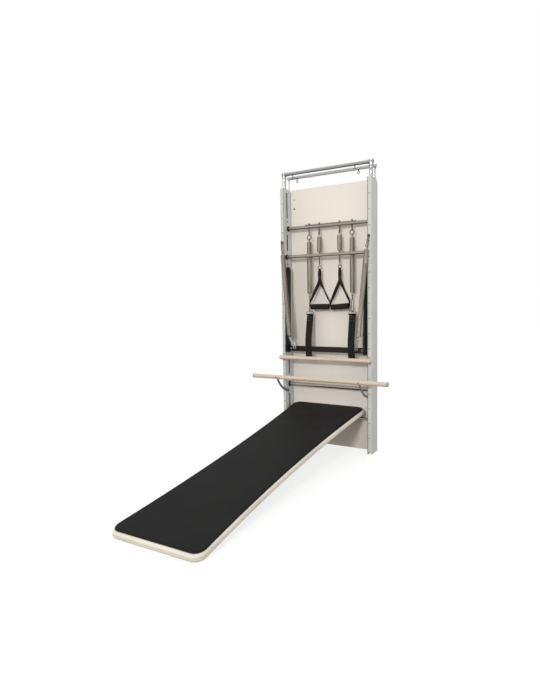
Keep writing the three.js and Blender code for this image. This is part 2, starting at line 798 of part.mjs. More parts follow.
for (const [side, x] of long_chains) {
  const shape = d_shape(d_ring_width / 2, d_ring_height, d_ring_shoulder);
  const inner_half = d_ring_width / 2 - 2 * d_ring_wire;
  const inner_height = d_ring_height - 4 * d_ring_wire;
  const inner_shoulder = d_ring_shoulder - d_ring_wire;
  const hole = d_shape(inner_half, inner_height, inner_shoulder);
  shape.holes = [new THREE.Path(hole.getPoints(ring_steps / 2)
    .map((point) => new THREE.Vector2(point.x, point.y + 2 * d_ring_wire)))];
  add(`d_ring_${side}`, plate_xz(shape, 2 * d_ring_wire, upper_bar_y, hook_bevel, ring_steps / 2)
    .translate(x, 0, d_ring_bar_z - d_ring_wire), "steel");
}

// Push-through bar. Its group turns about the pivots; in it, the arms hang plumb
const ptb = new THREE.Group();
ptb.position.set(0, ptb_pivot_y, ptb_pivot_z);
ptb.rotation.x = -ptb_lean * degree;
part.add(ptb);

const arm_outer_x = inner_x - seat_gap - pivot_washer - seat_gap;
const arm_middle_x = arm_outer_x - ptb_arm_thickness / 2;
const arm_inner_x = arm_outer_x - ptb_arm_thickness;

function ptb_arm_shape() {
  const top = ptb_arm_top_width / 2;
  const front = ptb_arm_back - ptb_arm_foot_width / 2;
  const back = ptb_arm_back + ptb_arm_foot_width / 2;
  const low = -ptb_reach - ptb_arm_foot;
  const round = ptb_arm_corner;
  const shape = new THREE.Shape();
  shape.absarc(ptb_arm_back, 0, top, 0, Math.PI);
  shape.lineTo(front, low + round);
  shape.absarc(front + round, low + round, round, Math.PI, 3 * Math.PI / 2);
  shape.lineTo(back - round, low);
  shape.absarc(back - round, low + round, round, -Math.PI / 2, 0);
  shape.holes = [circle_path(0, 0, pivot_pin_radius + pivot_pin_gap)];
  return shape;
}

const ptb_bar_front = ptb_bar_back - ptb_bar_depth / 2;
for (const [side, sign] of [["left", -1], ["right", 1]]) {
  add(`ptb_arm_${side}`, plate_yz(
    ptb_arm_shape(), ptb_arm_thickness, sign * arm_middle_x, 0, 1, ring_steps / 2,
  ), "black", ptb);
  const washer_x = inner_x - seat_gap;
  const head_x = arm_inner_x - seat_gap;
  add(`ptb_pivot_${side}`, turned_x([
    [0, sign * washer_x],
    [pivot_washer_radius, sign * washer_x],
    [pivot_washer_radius, sign * (washer_x - pivot_washer)],
    [pivot_pin_radius, sign * (washer_x - pivot_washer)],
    [pivot_pin_radius, sign * head_x],
    [pivot_head_radius, sign * head_x],
    [pivot_head_radius, sign * (head_x - pivot_head)],
    [0, sign * (head_x - pivot_head)],
  ]).translate(0, ptb_pivot_y, ptb_pivot_z), "black");
}
add("ptb_bar", plate_yz(
  rounded_rect(ptb_bar_depth, ptb_bar_height, ptb_bar_round), 2 * (arm_inner_x - seat_gap), 0, 0, 1, 3,
).translate(0, ptb_bar_back, -ptb_reach), "black", ptb);

// Eyes for the side springs: one on each post's front, one on each end of the bar
function side_eye(x, face_y, z) {
  const base_y = face_y - seat_gap - side_eye_base / 2;
  const ring_y = face_y - seat_gap - side_eye_stem - side_eye_radius;
  const stem = rod(side_eye_stem_radius, side_eye_stem, "y", wire_sides)
    .translate(x, face_y - seat_gap - side_eye_stem / 2, z);
  const base = rod(side_eye_base_radius, side_eye_base, "y", round_sides).translate(x, base_y, z);
  return joined([ring(side_eye_radius, side_eye_wire, "x").translate(x, ring_y, z), stem, base]);
}

const eye_drop = seat_gap + side_eye_stem + side_eye_radius;
ptb.updateMatrixWorld(true);
for (const [side, sign] of [["left", -1], ["right", 1]]) {
  add(`post_eye_${side}`, side_eye(sign * post_middle_x, 0, post_eye_z), "steel");
  add(`ptb_eye_${side}`, side_eye(sign * ptb_eye_x, ptb_bar_front, -ptb_reach), "steel", ptb);

  const hold = side_eye_wire + hook_wire + side_link_sag + seat_gap;
  const tie = hook_wire + spring_wire + side_link_sag + seat_gap;
  const spring_top = new THREE.Vector3(sign * side_spring_top_x, side_spring_top_y, side_spring_top_z);
  const spring_bottom = new THREE.Vector3(
    sign * side_spring_bottom_x, side_spring_bottom_y, side_spring_bottom_z,
  );
  const held_top = new THREE.Vector3(
    sign * post_middle_x, -eye_drop, post_eye_z - side_eye_radius + hold,
  );
  const held_low = ptb.localToWorld(new THREE.Vector3(
    sign * ptb_eye_x, ptb_bar_front - eye_drop, side_eye_radius - ptb_reach - hold,
  ));
  const axis = spring_top.clone().sub(spring_bottom).normalize();
  const tied_top = spring_top.clone().addScaledVector(axis, -tie);
  const tied_low = spring_bottom.clone().addScaledVector(axis, tie);
  add(`side_link_top_${side}`, link(
    held_top, tied_top, side_link_half_width, hook_wire, inward,
  ), "steel");
  add(`side_link_low_${side}`, link(
    tied_low, held_low, side_link_half_width, hook_wire, inward,
  ), "steel");
  spring(`side_spring_${side}`, {
    top: spring_top,
    bottom: spring_bottom,
    top_side: inward,
    bottom_side: inward,
    outer: side_spring_radius,
    curls: side_spring_curls,
  });
}

// Leg straps: doubled webbing folded over its ring, draped in front of the bar
const bar_low_front = ptb.localToWorld(new THREE.Vector3(
  0, ptb_bar_front, -ptb_reach - ptb_bar_height / 2,
));
const bar_high_front = ptb.localToWorld(new THREE.Vector3(
  0, ptb_bar_front, -ptb_reach + ptb_bar_height / 2,
));
const strap_y = bar_low_front.y - leg_strap_front_gap - leg_strap_half;
const strap_turn_z = bar_high_front.z + leg_strap_drape;
const strap_head = flat(upper_bar_y, d_ring_bar_z - leg_strap_fold_drop);
const strap_knee = flat(strap_y, strap_turn_z);
const strap_lead = strap_head.clone().lerp(strap_knee, 1 - leg_strap_drape / (strap_head.y - strap_turn_z));
const strap_after = flat(strap_y, strap_turn_z - leg_strap_drape);
const strap_bend = new THREE.QuadraticBezierCurve(strap_lead, strap_knee, strap_after);
const strap_points = [
  strap_head,
  ...strap_bend.getPoints(bend_steps),
  flat(strap_y, leg_strap_bottom_z),
];

// The eye of webbing folded over a bar or ring, and the strip that leaves it
function folded_strap(middle, fold_radius, half, points) {
  const outer = fold_radius + 2 * half;
  const edge = strip(points, half);
  const flow = points[1].clone().sub(middle).normalize();
  const start = Math.atan2(flow.y, flow.x);
  const opening = Math.asin(half / outer) * 2;
  const arc = [];
  const steps = ring_steps / 2;
  for (let i = 0; i <= steps; i += 1) {
    const angle = start + opening + (2 * Math.PI - 2 * opening) * i / steps;
    arc.push(flat(middle.x + outer * Math.cos(angle), middle.y + outer * Math.sin(angle)));
  }
  const tail = edge.slice(1, -1);
  const left_first = tail[0].distanceTo(arc[arc.length - 1]) < tail[0].distanceTo(arc[0]);
  const list = left_first ? [...arc, ...tail] : [...arc, ...tail.reverse()];
  return outline(list, [circle_path(middle.x, middle.y, fold_radius)]);
}

for (const [side, x] of long_chains) {
  const bar = flat(upper_bar_y, d_ring_bar_z);
  const shape = folded_strap(bar, leg_strap_fold_radius, leg_strap_half, strap_points);
  const geometry = plate_yz(shape, leg_strap_width, x, 0, 1, bend_steps);
  const slant = leg_strap_shift / leg_strap_length;
  const shear = new THREE.Matrix4().set(
    1, 0, -slant, slant * d_ring_bar_z,
    0, 1, 0, 0,
    0, 0, 1, 0,
    0, 0, 0, 1,
  );
  add(`leg_strap_${side}`, geometry.applyMatrix4(shear), "webbing");
}

// Stirrup handles: a webbing loop through a foam grip, gathered to a tab over a ring.
// The part is drawn about the ring's middle.
function handle_loop_shape(tilt) {
  const wide = handle_half_width;
  const round = handle_corner_round;
  const line = (shift) => {
    const path = new THREE.Path();
    const reach = wide - shift;
    const bottom = shift - grip_drop;
    path.moveTo(0, bottom);
    path.lineTo(reach - round, bottom);
    path.absarc(reach - round, bottom + round, round, -Math.PI / 2, 0);
    path.lineTo(reach, -handle_corner_drop);
    path.lineTo(handle_web_half - shift, -handle_split_drop - shift);
    return path.getPoints(arc_steps);
  };
  const slope = Math.tan(tilt * degree);
  const tilted = (points) => points.map(({ x, y }) => {
    const fall = (-handle_split_drop - y) / (handle_corner_drop - handle_split_drop);
    return flat(x, y + slope * x * Math.min(Math.max(fall, 0), 1));
  });
  const mirrored = (points) => points.map((point) => flat(-point.x, point.y)).reverse();
  const whole = (points) => tilted([...points, ...mirrored(points).slice(0, -1)]);
  return outline(whole(line(-handle_web_half)), [new THREE.Path(whole(line(handle_web_half)))]);
}

function handle_web(tilt) {
  const thickness = 4 * handle_web_half;
  const fold_middle = -handle_ring_radius;
  const fold_outer = handle_fold_radius + 2 * handle_web_half;
  const top = fold_middle - handle_fold_radius - handle_web_half;
  const side = handle_tab_width / 2;
  const neck = handle_neck_width / 2;
  const tab = outline([
    flat(-side, -handle_split_drop),
    flat(side, -handle_split_drop),
    flat(side, top - handle_tab_shoulder),
    flat(neck, top),
    flat(-neck, top),
    flat(-side, top - handle_tab_shoulder),
  ]);
  const fold = new THREE.Shape();
  fold.absarc(0, fold_middle, fold_outer, 0, 2 * Math.PI);
  fold.holes = [circle_path(0, fold_middle, handle_fold_radius)];
  return joined([
    plate_xz(handle_loop_shape(tilt), handle_web_width, 0),
    plate_xz(tab, thickness, 0),
    plate_yz(fold, handle_neck_width, 0, 0, 1, ring_steps / 2),
  ]);
}

for (const [side, x, turn, tilt] of short_chains) {
  const handle = new THREE.Group();
  handle.position.set(x, upper_bar_y, handle_ring_z);
  handle.rotation.z = turn * degree;
  part.add(handle);
  add(`handle_ring_${side}`, ring(handle_ring_radius, handle_ring_wire, "y"), "steel", handle);
  add(`handle_web_${side}`, handle_web(tilt), "webbing", handle);
  const end = grip_length / 2;
  add(`handle_grip_${side}`, turned_x([
    [grip_bore_radius, -end],
    [grip_radius - grip_edge, -end],
    [grip_radius, grip_edge - end],
    [grip_radius, end - grip_edge],
    [grip_radius - grip_edge, end],
    [grip_bore_radius, end],
    [grip_bore_radius, -end],
  ]).rotateY(-tilt * degree).translate(0, 0, -grip_drop), "foam", handle);
}

// Roll-down bar and the J-hooks that hold it
const roll_end = roll_bar_length / 2;
add("roll_down_bar", turned_x([
  [0, roll_end],
  [roll_bar_radius - roll_bar_end_round, roll_end],
  [roll_bar_radius, roll_end - roll_bar_end_round],
  [roll_bar_radius, roll_bar_end_round - roll_end],
  [roll_bar_radius - roll_bar_end_round, -roll_end],
  [0, -roll_end],
]).translate(0, roll_bar_y, roll_bar_z), "wood");

function j_hook_shape() {
  const inner = roll_bar_radius + seat_gap;
  const middle = inner + j_hook_strip / 2;
  const plate_y = -seat_gap - j_hook_strip / 2;
  const points = [flat(plate_y, roll_bar_z + j_hook_plate_top)];
  const heel_z = roll_bar_z - middle;
  points.push(flat(plate_y, heel_z + j_hook_strip), flat(plate_y - j_hook_strip, heel_z));
  for (let i = 0; i <= bend_steps; i += 1) {
    const angle = -Math.PI / 2 - j_hook_lip * degree * i / bend_steps;
    points.push(flat(roll_bar_y + middle * Math.cos(angle), roll_bar_z + middle * Math.sin(angle)));
  }
  return outline(strip(points, j_hook_strip / 2));
}

for (const [side, sign] of [["left", -1], ["right", 1]]) {
  add(`j_hook_${side}`, plate_yz(j_hook_shape(), j_hook_width, sign * j_hook_x), "dark");
}

// Barre, its end caps and the curved arms under it
const barre_end = barre_length / 2;
add("barre", rod(barre_radius, barre_length, "x").translate(0, barre_y, barre_z), "wood");
function barre_arm_shape() {
  const curve = new THREE.SplineCurve([
    flat(barre_foot_y, barre_foot_z),
    flat(barre_arm_low_y, barre_arm_low_z),
    flat(barre_arm_high_y, barre_arm_high_z),
    flat(barre_y, barre_z),
  ]);
  return outline(strip(curve.getPoints(ring_steps), barre_arm_half));
}
const barre_saddle = rod(barre_radius + seat_gap, tower_width, "x", 2 * round_sides)
  .translate(0, barre_y, barre_z);
for (const [side, sign] of [["left", -1], ["right", 1]]) {
  const cap_x = barre_end + seat_gap;
  const cap = [
    [0, sign * cap_x],
    [barre_cap_radius, sign * cap_x],
    [barre_cap_radius, sign * (cap_x + barre_cap_length - barre_cap_round)],
    [barre_cap_radius - barre_cap_round, sign * (cap_x + barre_cap_length)],
    [0, sign * (cap_x + barre_cap_length)],
  ];
  add(`barre_cap_${side}`, turned_x(cap).translate(0, barre_y, barre_z), "cap");
  const arm_x = sign * (inner_x - seat_gap - barre_arm_thickness / 2);
  const foot = rod(barre_foot_radius, barre_arm_thickness, "x").translate(arm_x, barre_foot_y, barre_foot_z);
  const arm = joined([plate_yz(barre_arm_shape(), barre_arm_thickness, arm_x), foot]);
  add(`barre_arm_${side}`, cut(arm, [barre_saddle]), "dark");
}

// Mat. Its group's origin is the support bar's axis; the near end comes down to the floor.
const mat_rise = bar_radius + mat_hook_play + mat_hook_plate + seat_gap;
const mat_near = mat_base_length - mat_head_past_bar;
const lift = mat_rise + mat_base_edge;
const run = mat_near - mat_base_edge;
const mat_slope = Math.atan2(lift, run)
  + Math.asin((support_bar_z - mat_base_edge) / Math.hypot(lift, run));
const mat = new THREE.Group();
mat.position.set(0, support_bar_y, support_bar_z);
mat.rotation.x = Math.PI / 2 + mat_slope;
part.add(mat);

// Half the base's width at a place along it; y runs from the near end to the head
const mat_waist_y = mat_base_length * mat_waist_share - mat_base_length / 2;
function mat_half(y) {
  const flare = (y - mat_waist_y) / (mat_base_length / 2 - mat_waist_y);
  return mat_waist_width / 2 + (mat_base_width - mat_waist_width) / 2 * flare ** 2;
}

// A cushion's outline, drawn in at the waist and set in by an amount all round
function mat_outline(inset, { corner, side_inset, near, head }) {
  const x = mat_base_width / 2 - side_inset - inset;
  const low = near + inset;
  const high = head - inset;
  const radius = Math.max(corner - inset, mat_least_corner);
  const points = [];
  const quarter = (sign, middle_y, from) => {
    for (let i = 0; i <= mat_corner_steps; i += 1) {
      const angle = from + (Math.PI / 2) * i / mat_corner_steps;
      points.push([
        sign * (x - radius) + radius * Math.cos(angle),
        middle_y + radius * Math.sin(angle),
      ]);
    }
  };
  const between = (x0, y0, x1, y1, steps) => {
    for (let i = 1; i < steps; i += 1) points.push([x0 + (x1 - x0) * i / steps, y0 + (y1 - y0) * i / steps]);
  };
  quarter(1, low + radius, -Math.PI / 2);
  between(x, low + radius, x, high - radius, mat_side_steps);
  quarter(1, high - radius, 0);
  between(x - radius, high, radius - x, high, mat_end_steps);
  quarter(-1, high - radius, Math.PI / 2);
  between(-x, high - radius, -x, low + radius, mat_side_steps);
  quarter(-1, low + radius, Math.PI);
  between(radius - x, low, x - radius, low, mat_end_steps);
  return points.map(([px, py]) => [px * (mat_half(py) - side_inset - inset) / x, py]);
}

// A cushion built of rings, each the outline set in by one amount at one height
function cushion(rings, form) {
  const positions = [];
  let count = 0;
  for (const [inset, height] of rings) {
    const points = mat_outline(inset, form);
    count = points.length;
    for (const [x, y] of points) positions.push(x, y, height);
  }
  const triangles = [];
  for (let r = 0; r < rings.length - 1; r += 1) {
    for (let k = 0; k < count; k += 1) {
      const next = (k + 1) % count;
      const a = r * count + k;
      const b = r * count + next;
      triangles.push(a, b, b + count, a, b + count, a + count);
    }
  }
  const low = positions.length / 3;
  positions.push(0, 0, rings[0][1]);
  positions.push(0, 0, rings[rings.length - 1][1]);
  const top = (rings.length - 1) * count;
  for (let k = 0; k < count; k += 1) {
    const next = (k + 1) % count;
    triangles.push(low, next, k, low + 1, top + k, top + next);
  }
  const geometry = new THREE.BufferGeometry();
  geometry.setAttribute("position", new THREE.Float32BufferAttribute(positions, 3));
  geometry.setIndex(triangles);
  geometry.computeVertexNormals();
  return geometry;
}

// The rings of a cushion's rounded edge, from one height to another
function edge_rings(radius, from_height, to_height, upward) {
  const list = [];
  for (let i = 0; i <= mat_edge_steps; i += 1) {
    const angle = (Math.PI / 2) * i / mat_edge_steps;
    const inset = upward ? radius * (1 - Math.cos(angle)) : radius * (1 - Math.sin(angle));
    const share = upward ? Math.sin(angle) : 1 - Math.cos(angle);
    list.push([inset, from_height + (to_height - from_height) * share]);
  }
  return list;
}

function place_mat(geometry, rise) {
  geometry.rotateX(-Math.PI / 2);
  return geometry.translate(0, rise, mat_near - mat_base_length / 2);
}

const base_rings = [
  ...edge_rings(mat_base_edge, 0, mat_base_edge, false),
  [mat_side_draw, mat_base_thickness / 2],
  ...edge_rings(mat_base_edge, mat_base_thickness - mat_base_edge, mat_base_thickness, true),
];
const base_form = {
  corner: mat_base_corner,
  side_inset: 0,
  near: -mat_base_length / 2,
  head: mat_base_length / 2,
};
add("mat_base", place_mat(cushion(base_rings, base_form), mat_rise), "cream", mat);

const top_form = {
  corner: mat_top_corner,
  side_inset: mat_top_inset,
  near: mat_top_near_inset - mat_base_length / 2,
  head: mat_base_length / 2 - mat_top_inset,
};
const crown_reach = mat_waist_width / 2 - mat_top_inset - mat_top_edge;
const top_rings = [
  [mat_top_edge / 2, 0],
  [0, mat_top_thickness - mat_top_edge],
  ...edge_rings(mat_top_edge, mat_top_thickness - mat_top_edge, mat_top_thickness, true).slice(1),
  ...mat_crown_shares.map(([inset, rise]) => [
    mat_top_edge + inset * crown_reach,
    mat_top_thickness + rise * mat_crown,
  ]),
];
add("mat_top", place_mat(
  cushion(top_rings, top_form), mat_rise + mat_base_thickness + seat_gap,
), "mat", mat);

// Hooks under the mat, open downwards, that sit over the support bar
function mat_hook_shape() {
  const inner = bar_radius + mat_hook_play;
  const outer = inner + mat_hook_strip;
  const top = inner + mat_hook_plate;
  const end = mat_head_past_bar - mat_base_edge;
  const shape = new THREE.Shape();
  shape.moveTo(-mat_hook_plate_half, top);
  shape.lineTo(-mat_hook_plate_half, top - mat_hook_strip);
  shape.lineTo(-outer, top - mat_hook_strip);
  shape.lineTo(-outer, -mat_hook_leg);
  shape.lineTo(-inner, -mat_hook_leg);
  shape.lineTo(-inner, 0);
  shape.absarc(0, 0, inner, Math.PI, 0, true);
  shape.lineTo(inner, -mat_hook_leg);
  shape.lineTo(outer, -mat_hook_leg);
  shape.lineTo(outer, top - mat_hook_strip);
  shape.lineTo(end, top - mat_hook_strip);
  shape.lineTo(end, top);
  return shape;
}

for (const [side, sign] of [["left", -1], ["right", 1]]) {
  const geometry = plate_yz(mat_hook_shape(), mat_hook_width, sign * mat_hook_x, 0, 1, ring_steps / 2);
  geometry.rotateX(-Math.PI / 2);
  add(`mat_hook_${side}`, geometry, "steel", mat);
}

// The origin goes to the middle of the footprint, on the floor
part.updateMatrixWorld(true);
const extent = new THREE.Box3().setFromObject(part, true);
const middle = extent.getCenter(new THREE.Vector3());
part.position.set(-middle.x, -middle.y, -extent.min.z);
part.updateMatrixWorld(true);

export default part;
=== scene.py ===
"""Looks for the pilates tower unit: every piece rides on its CAD body, in metres, in the CAD frame."""
import json
import math

import bmesh
import bpy
import numpy as np
from mathutils import Matrix, Vector

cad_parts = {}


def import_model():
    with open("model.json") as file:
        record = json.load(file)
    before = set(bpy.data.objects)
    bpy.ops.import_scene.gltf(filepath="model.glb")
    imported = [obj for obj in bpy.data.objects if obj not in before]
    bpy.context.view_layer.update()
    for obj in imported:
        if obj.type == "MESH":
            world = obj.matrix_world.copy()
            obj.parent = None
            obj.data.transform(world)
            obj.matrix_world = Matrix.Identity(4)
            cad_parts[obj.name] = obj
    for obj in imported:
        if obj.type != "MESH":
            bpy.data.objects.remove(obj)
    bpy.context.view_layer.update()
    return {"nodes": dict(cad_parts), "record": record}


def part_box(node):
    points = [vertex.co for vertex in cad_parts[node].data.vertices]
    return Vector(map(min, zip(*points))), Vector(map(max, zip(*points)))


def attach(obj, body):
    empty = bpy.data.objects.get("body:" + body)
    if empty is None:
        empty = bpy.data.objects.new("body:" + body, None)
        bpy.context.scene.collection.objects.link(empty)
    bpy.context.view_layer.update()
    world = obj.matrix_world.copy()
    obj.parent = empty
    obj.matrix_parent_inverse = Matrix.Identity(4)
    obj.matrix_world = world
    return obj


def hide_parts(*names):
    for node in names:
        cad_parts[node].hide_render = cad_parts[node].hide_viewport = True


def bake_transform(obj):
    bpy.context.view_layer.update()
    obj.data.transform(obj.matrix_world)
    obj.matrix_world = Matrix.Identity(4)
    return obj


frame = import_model()
NODES = frame["nodes"]
BODY_OF = {n: b for b, ns in frame["record"]["behaviour"]["bodies"].items() for n in ns}
Y0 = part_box("post_left")[0].y
MM = 0.001
X, Y, Z = Vector((1, 0, 0)), Vector((0, 1, 0)), Vector((0, 0, 1))
SIDES = (("left", -1), ("right", 1))


def P(x, y, z):
    """A point given in millimetres, with y = 0 at the posts' front faces, in the row frame."""
    return Vector((x * MM, y * MM + Y0, z * MM))


def add_object(name, data):
    obj = bpy.data.objects.new(name, data)
    bpy.context.scene.collection.objects.link(obj)
    return obj


# Camera, fitted to the photograph: place and lens in millimetres, yaw, pitch and roll in degrees
CAMERA_AT, CAMERA_TURN, CAMERA_LENS = (1717.0, -3623.3, 1158.0), (31.3, -5.54, -1.08), 35.29


def camera():
    data = bpy.data.cameras.new("camera")
    cam = add_object("camera", data)
    yaw, pitch, roll = (math.radians(a) for a in CAMERA_TURN)
    turn = Matrix.Rotation(yaw, 4, "Z") @ Matrix.Rotation(math.pi / 2 + pitch, 4, "X")
    cam.matrix_world = Matrix.Translation(P(*CAMERA_AT)) @ turn @ Matrix.Rotation(roll, 4, "Z")
    data.sensor_fit = "HORIZONTAL"
    data.sensor_width = 36
    data.lens = CAMERA_LENS
    data.clip_end = 100
    bpy.context.scene.camera = cam


camera()


# Materials
def feed(m, node, inputs):
    """Sets a node's inputs, named or numbered, each to a value or to another node's output."""
    for key, value in inputs.items():
        if isinstance(value, bpy.types.NodeSocket):
            m.node_tree.links.new(value, node.inputs[key])
        else:
            node.inputs[key].default_value = value


def add_node(m, kind, inputs, **props):
    """A new shader node of a material or a world, with its properties and inputs set."""
    n = m.node_tree.nodes.new("ShaderNode" + kind)
    for key, value in props.items():
        setattr(n, key, value)
    feed(m, n, inputs)
    return n


def surface(m, **inputs):
    """Sets inputs of a material's own shader; a name has underscores for spaces."""
    feed(m, m.node_tree.nodes["Principled BSDF"], {k.replace("_", " "): v for k, v in inputs.items()})


def material(name, base, rough, metal=0.0, **inputs):
    m = bpy.data.materials.new(name)
    m.use_nodes = True
    surface(m, Base_Color=(*base, 1), Roughness=rough, Metallic=metal, **inputs)
    return m


def coords(m, scale=(1, 1, 1)):
    at = add_node(m, "TexCoord", {}).outputs["Object"]
    return add_node(m, "Mapping", {"Scale": scale, "Vector": at}).outputs["Vector"]


def noise(m, vec, scale, detail=2.0, rough=0.5, distortion=0.0):
    return add_node(m, "TexNoise", {"Scale": scale, "Detail": detail, "Roughness": rough,
                                    "Distortion": distortion, "Vector": vec}).outputs["Fac"]


def ramp(m, fac, stops):
    r = add_node(m, "ValToRGB", {"Fac": fac})
    els = r.color_ramp.elements
    while len(els) < len(stops):
        els.new(0.5)
    for e, (pos, col) in zip(els, stops):
        e.position = pos
        e.color = (*col, 1)
    return r.outputs["Color"]


def spread(m, fac, low, high):
    return add_node(m, "MapRange", {"To Min": low, "To Max": high, "Value": fac}).outputs["Result"]


def bump(m, height, strength, distance):
    b = add_node(m, "Bump", {"Strength": strength, "Distance": distance, "Height": height})
    surface(m, Normal=b.outputs["Normal"])


def shade(base, k):
    return tuple(min(1, c * k) for c in base)


def tint(m, vec, base, scale, amount, detail=3.0):
    """A soft variation of the base colour."""
    stops = [(0.3, shade(base, 1 - amount)), (0.7, shade(base, 1 + amount))]
    surface(m, Base_Color=ramp(m, noise(m, vec, scale, detail), stops))


def powder_coat(name, base, rough, amount=0.04, spec=0.5):
    m = material(name, base, rough, Specular_IOR_Level=spec)
    v = coords(m)
    tint(m, v, base, 6, amount)
    surface(m, Roughness=spread(m, noise(m, v, 30, 3), rough - 0.06, rough + 0.06))
    bump(m, noise(m, v, 900, 2), 0.12, 0.0004)
    return m


def by_facing(m, under, side, top):
    """A colour that depends on how far a surface of the object faces up or down: painted shade where it faces
    down, painted light where it faces up.
    """
    axes = add_node(m, "SeparateXYZ", {0: add_node(m, "TexCoord", {}).outputs["Normal"]})
    level = add_node(m, "MapRange", {"From Min": -1, "Value": axes.outputs["Z"]})
    return ramp(m, level.outputs["Result"], [(0.08, under), (0.42, side), (0.60, side), (0.90, top)])


def bright_metal(name, base, rough, under, top):
    """Bright metal with painted shade below and a painted highlight above, standing in for reflections of a
    dark floor and a bright room.
    """
    m = material(name, base, rough, 1.0, Specular_Tint=(0.6, 0.6, 0.6, 1))
    v = coords(m)
    worn = ramp(m, noise(m, v, 40, 3), [(0.3, (0.95,) * 3), (0.7, (1, 1, 1))])
    # painted shade on the underside and a painted highlight on top, set by under and top
    facing = by_facing(m, shade(base, under), base, shade(base, top))
    mix = add_node(m, "Mix", {0: 1.0, 6: facing, 7: worn}, data_type="RGBA", blend_type="MULTIPLY")
    surface(m, Base_Color=mix.outputs[2],
            Roughness=spread(m, noise(m, v, 120, 3), rough * 0.7, rough * 1.4))
    bump(m, noise(m, v, 500, 2), 0.06, 0.0003)
    return m


def wood(name, base):
    m = material(name, base, 0.5, Specular_IOR_Level=0.3)
    grain = noise(m, coords(m, (0.6, 14, 14)), 9, 6, 0.6, 0.6)
    fine = noise(m, coords(m, (2, 90, 90)), 14, 3)
    both = add_node(m, "Math", {0: fine, 1: 0.25, 2: grain}, operation="MULTIPLY_ADD").outputs[0]
    dark = (base[0] * 0.88, base[1] * 0.84, base[2] * 0.79)
    surface(m, Base_Color=ramp(m, both, [(0.38, dark), (0.58, base), (0.8, shade(base, 1.05))]))
    bump(m, both, 0.08, 0.0005)
    return m


def laminate(name, base):
    m = material(name, base, 0.55)
    v = coords(m)
    tint(m, v, base, 2.2, 0.025, 4)
    bump(m, noise(m, v, 420, 3), 0.10, 0.0004)
    return m


def webbing(name, base):
    """Ribbed nylon: fine ribs across the strap and a coarser pattern along it."""
    m = material(name, base, 0.8, Specular_IOR_Level=0.2)
    v = coords(m)
    ribs = add_node(m, "TexWave", {"Scale": 190, "Distortion": 0.6, "Detail": 1, "Vector": v},
                    wave_type="BANDS", bands_direction="Z")
    warp = add_node(m, "TexWave", {"Scale": 110, "Vector": v}, wave_type="BANDS", bands_direction="X")
    both = add_node(m, "Math", {0: ribs.outputs["Fac"], 1: warp.outputs["Fac"]}, operation="MULTIPLY")
    weave = both.outputs[0]
    surface(m, Base_Color=ramp(m, weave, [(0.0, shade(base, 0.6)), (1.0, shade(base, 1.5))]))
    bump(m, weave, 0.5, 0.0006)
    return m


def leather(name, base, rough, grain=260, spec=0.45):
    m = material(name, base, rough, Specular_IOR_Level=spec)
    v = coords(m)
    tint(m, v, base, 3.5, 0.10, 4)
    cells = add_node(m, "TexVoronoi", {"Scale": grain, "Vector": v}, feature="DISTANCE_TO_EDGE")
    surface(m, Roughness=spread(m, noise(m, v, 9, 3), rough - 0.05, rough + 0.08))
    bump(m, cells.outputs["Distance"], 0.18, 0.0004)
    return m


def foam(name, base):
    m = material(name, base, 0.85, Specular_IOR_Level=0.2)
    v = coords(m)
    tint(m, v, base, 60, 0.25)
    bump(m, noise(m, v, 700, 2), 0.5, 0.0008)
    return m


M_POST = powder_coat("silver_coat", (0.56, 0.57, 0.565), 0.5, spec=0.3)
# near-black painted shade for the hollow inside the posts and the sides of their slots
M_HOLLOW_SHADE = powder_coat("painted_tube_shade", (0.02, 0.02, 0.02), 0.9, spec=0.1)
# every bright_metal finish below has painted shade underneath (under) and a painted highlight on top (top)
M_TUBE = bright_metal("bright_tube", (0.36, 0.355, 0.345), 0.3, under=0.35, top=1.8)
M_TUBE_PALE = bright_metal("pale_tube", (0.56, 0.55, 0.55), 0.35, under=0.7, top=1.4)
M_CHROME = bright_metal("polished_bar", (0.34, 0.315, 0.275), 0.22, under=0.38, top=1.5)
M_STEEL = bright_metal("zinc_steel", (0.21, 0.195, 0.17), 0.32, under=0.35, top=2.0)
M_IRON = bright_metal("dark_steel", (0.12, 0.11, 0.092), 0.36, under=0.4, top=2.2)
M_BRIGHT = bright_metal("bright_zinc", (0.60, 0.585, 0.56), 0.3, under=0.65, top=1.5)
M_SPRING = bright_metal("spring_steel", (0.46, 0.415, 0.34), 0.4, under=0.6, top=1.4)
M_BLACK = powder_coat("black_coat", (0.011, 0.0095, 0.008), 0.5, 0.15, spec=0.15)
M_SOCKET = powder_coat("black_socket", (0.01, 0.01, 0.01), 0.6, 0.15, spec=0.2)
M_DARK = powder_coat("dark_coat", (0.03, 0.028, 0.025), 0.45, 0.1, spec=0.2)
M_GREY = powder_coat("grey_coat", (0.15, 0.148, 0.14), 0.45, 0.08, spec=0.3)
M_HOOK = powder_coat("silver_hook", (0.36, 0.355, 0.34), 0.45, 0.06, spec=0.3)
M_PANEL = laminate("pale_laminate", (0.782, 0.737, 0.678))
M_BARRE = wood("pale_wood", (0.60, 0.51, 0.41))
M_DOWEL = wood("pale_dowel", (0.62, 0.515, 0.405))
M_CAP = powder_coat("grey_cap", (0.34, 0.335, 0.31), 0.5, 0.05)
M_STRAP = webbing("black_webbing", (0.013, 0.011, 0.009))
M_FOAM = foam("black_foam", (0.016, 0.012, 0.0095))
M_MAT = leather("mat_vinyl", (0.0125, 0.0125, 0.0122), 0.6, spec=0.07)
M_CREAM = leather("cream_vinyl", (0.675, 0.638, 0.555), 0.6, 340, spec=0.2)
M_SEAM = foam("seam_thread", (0.30, 0.27, 0.22))


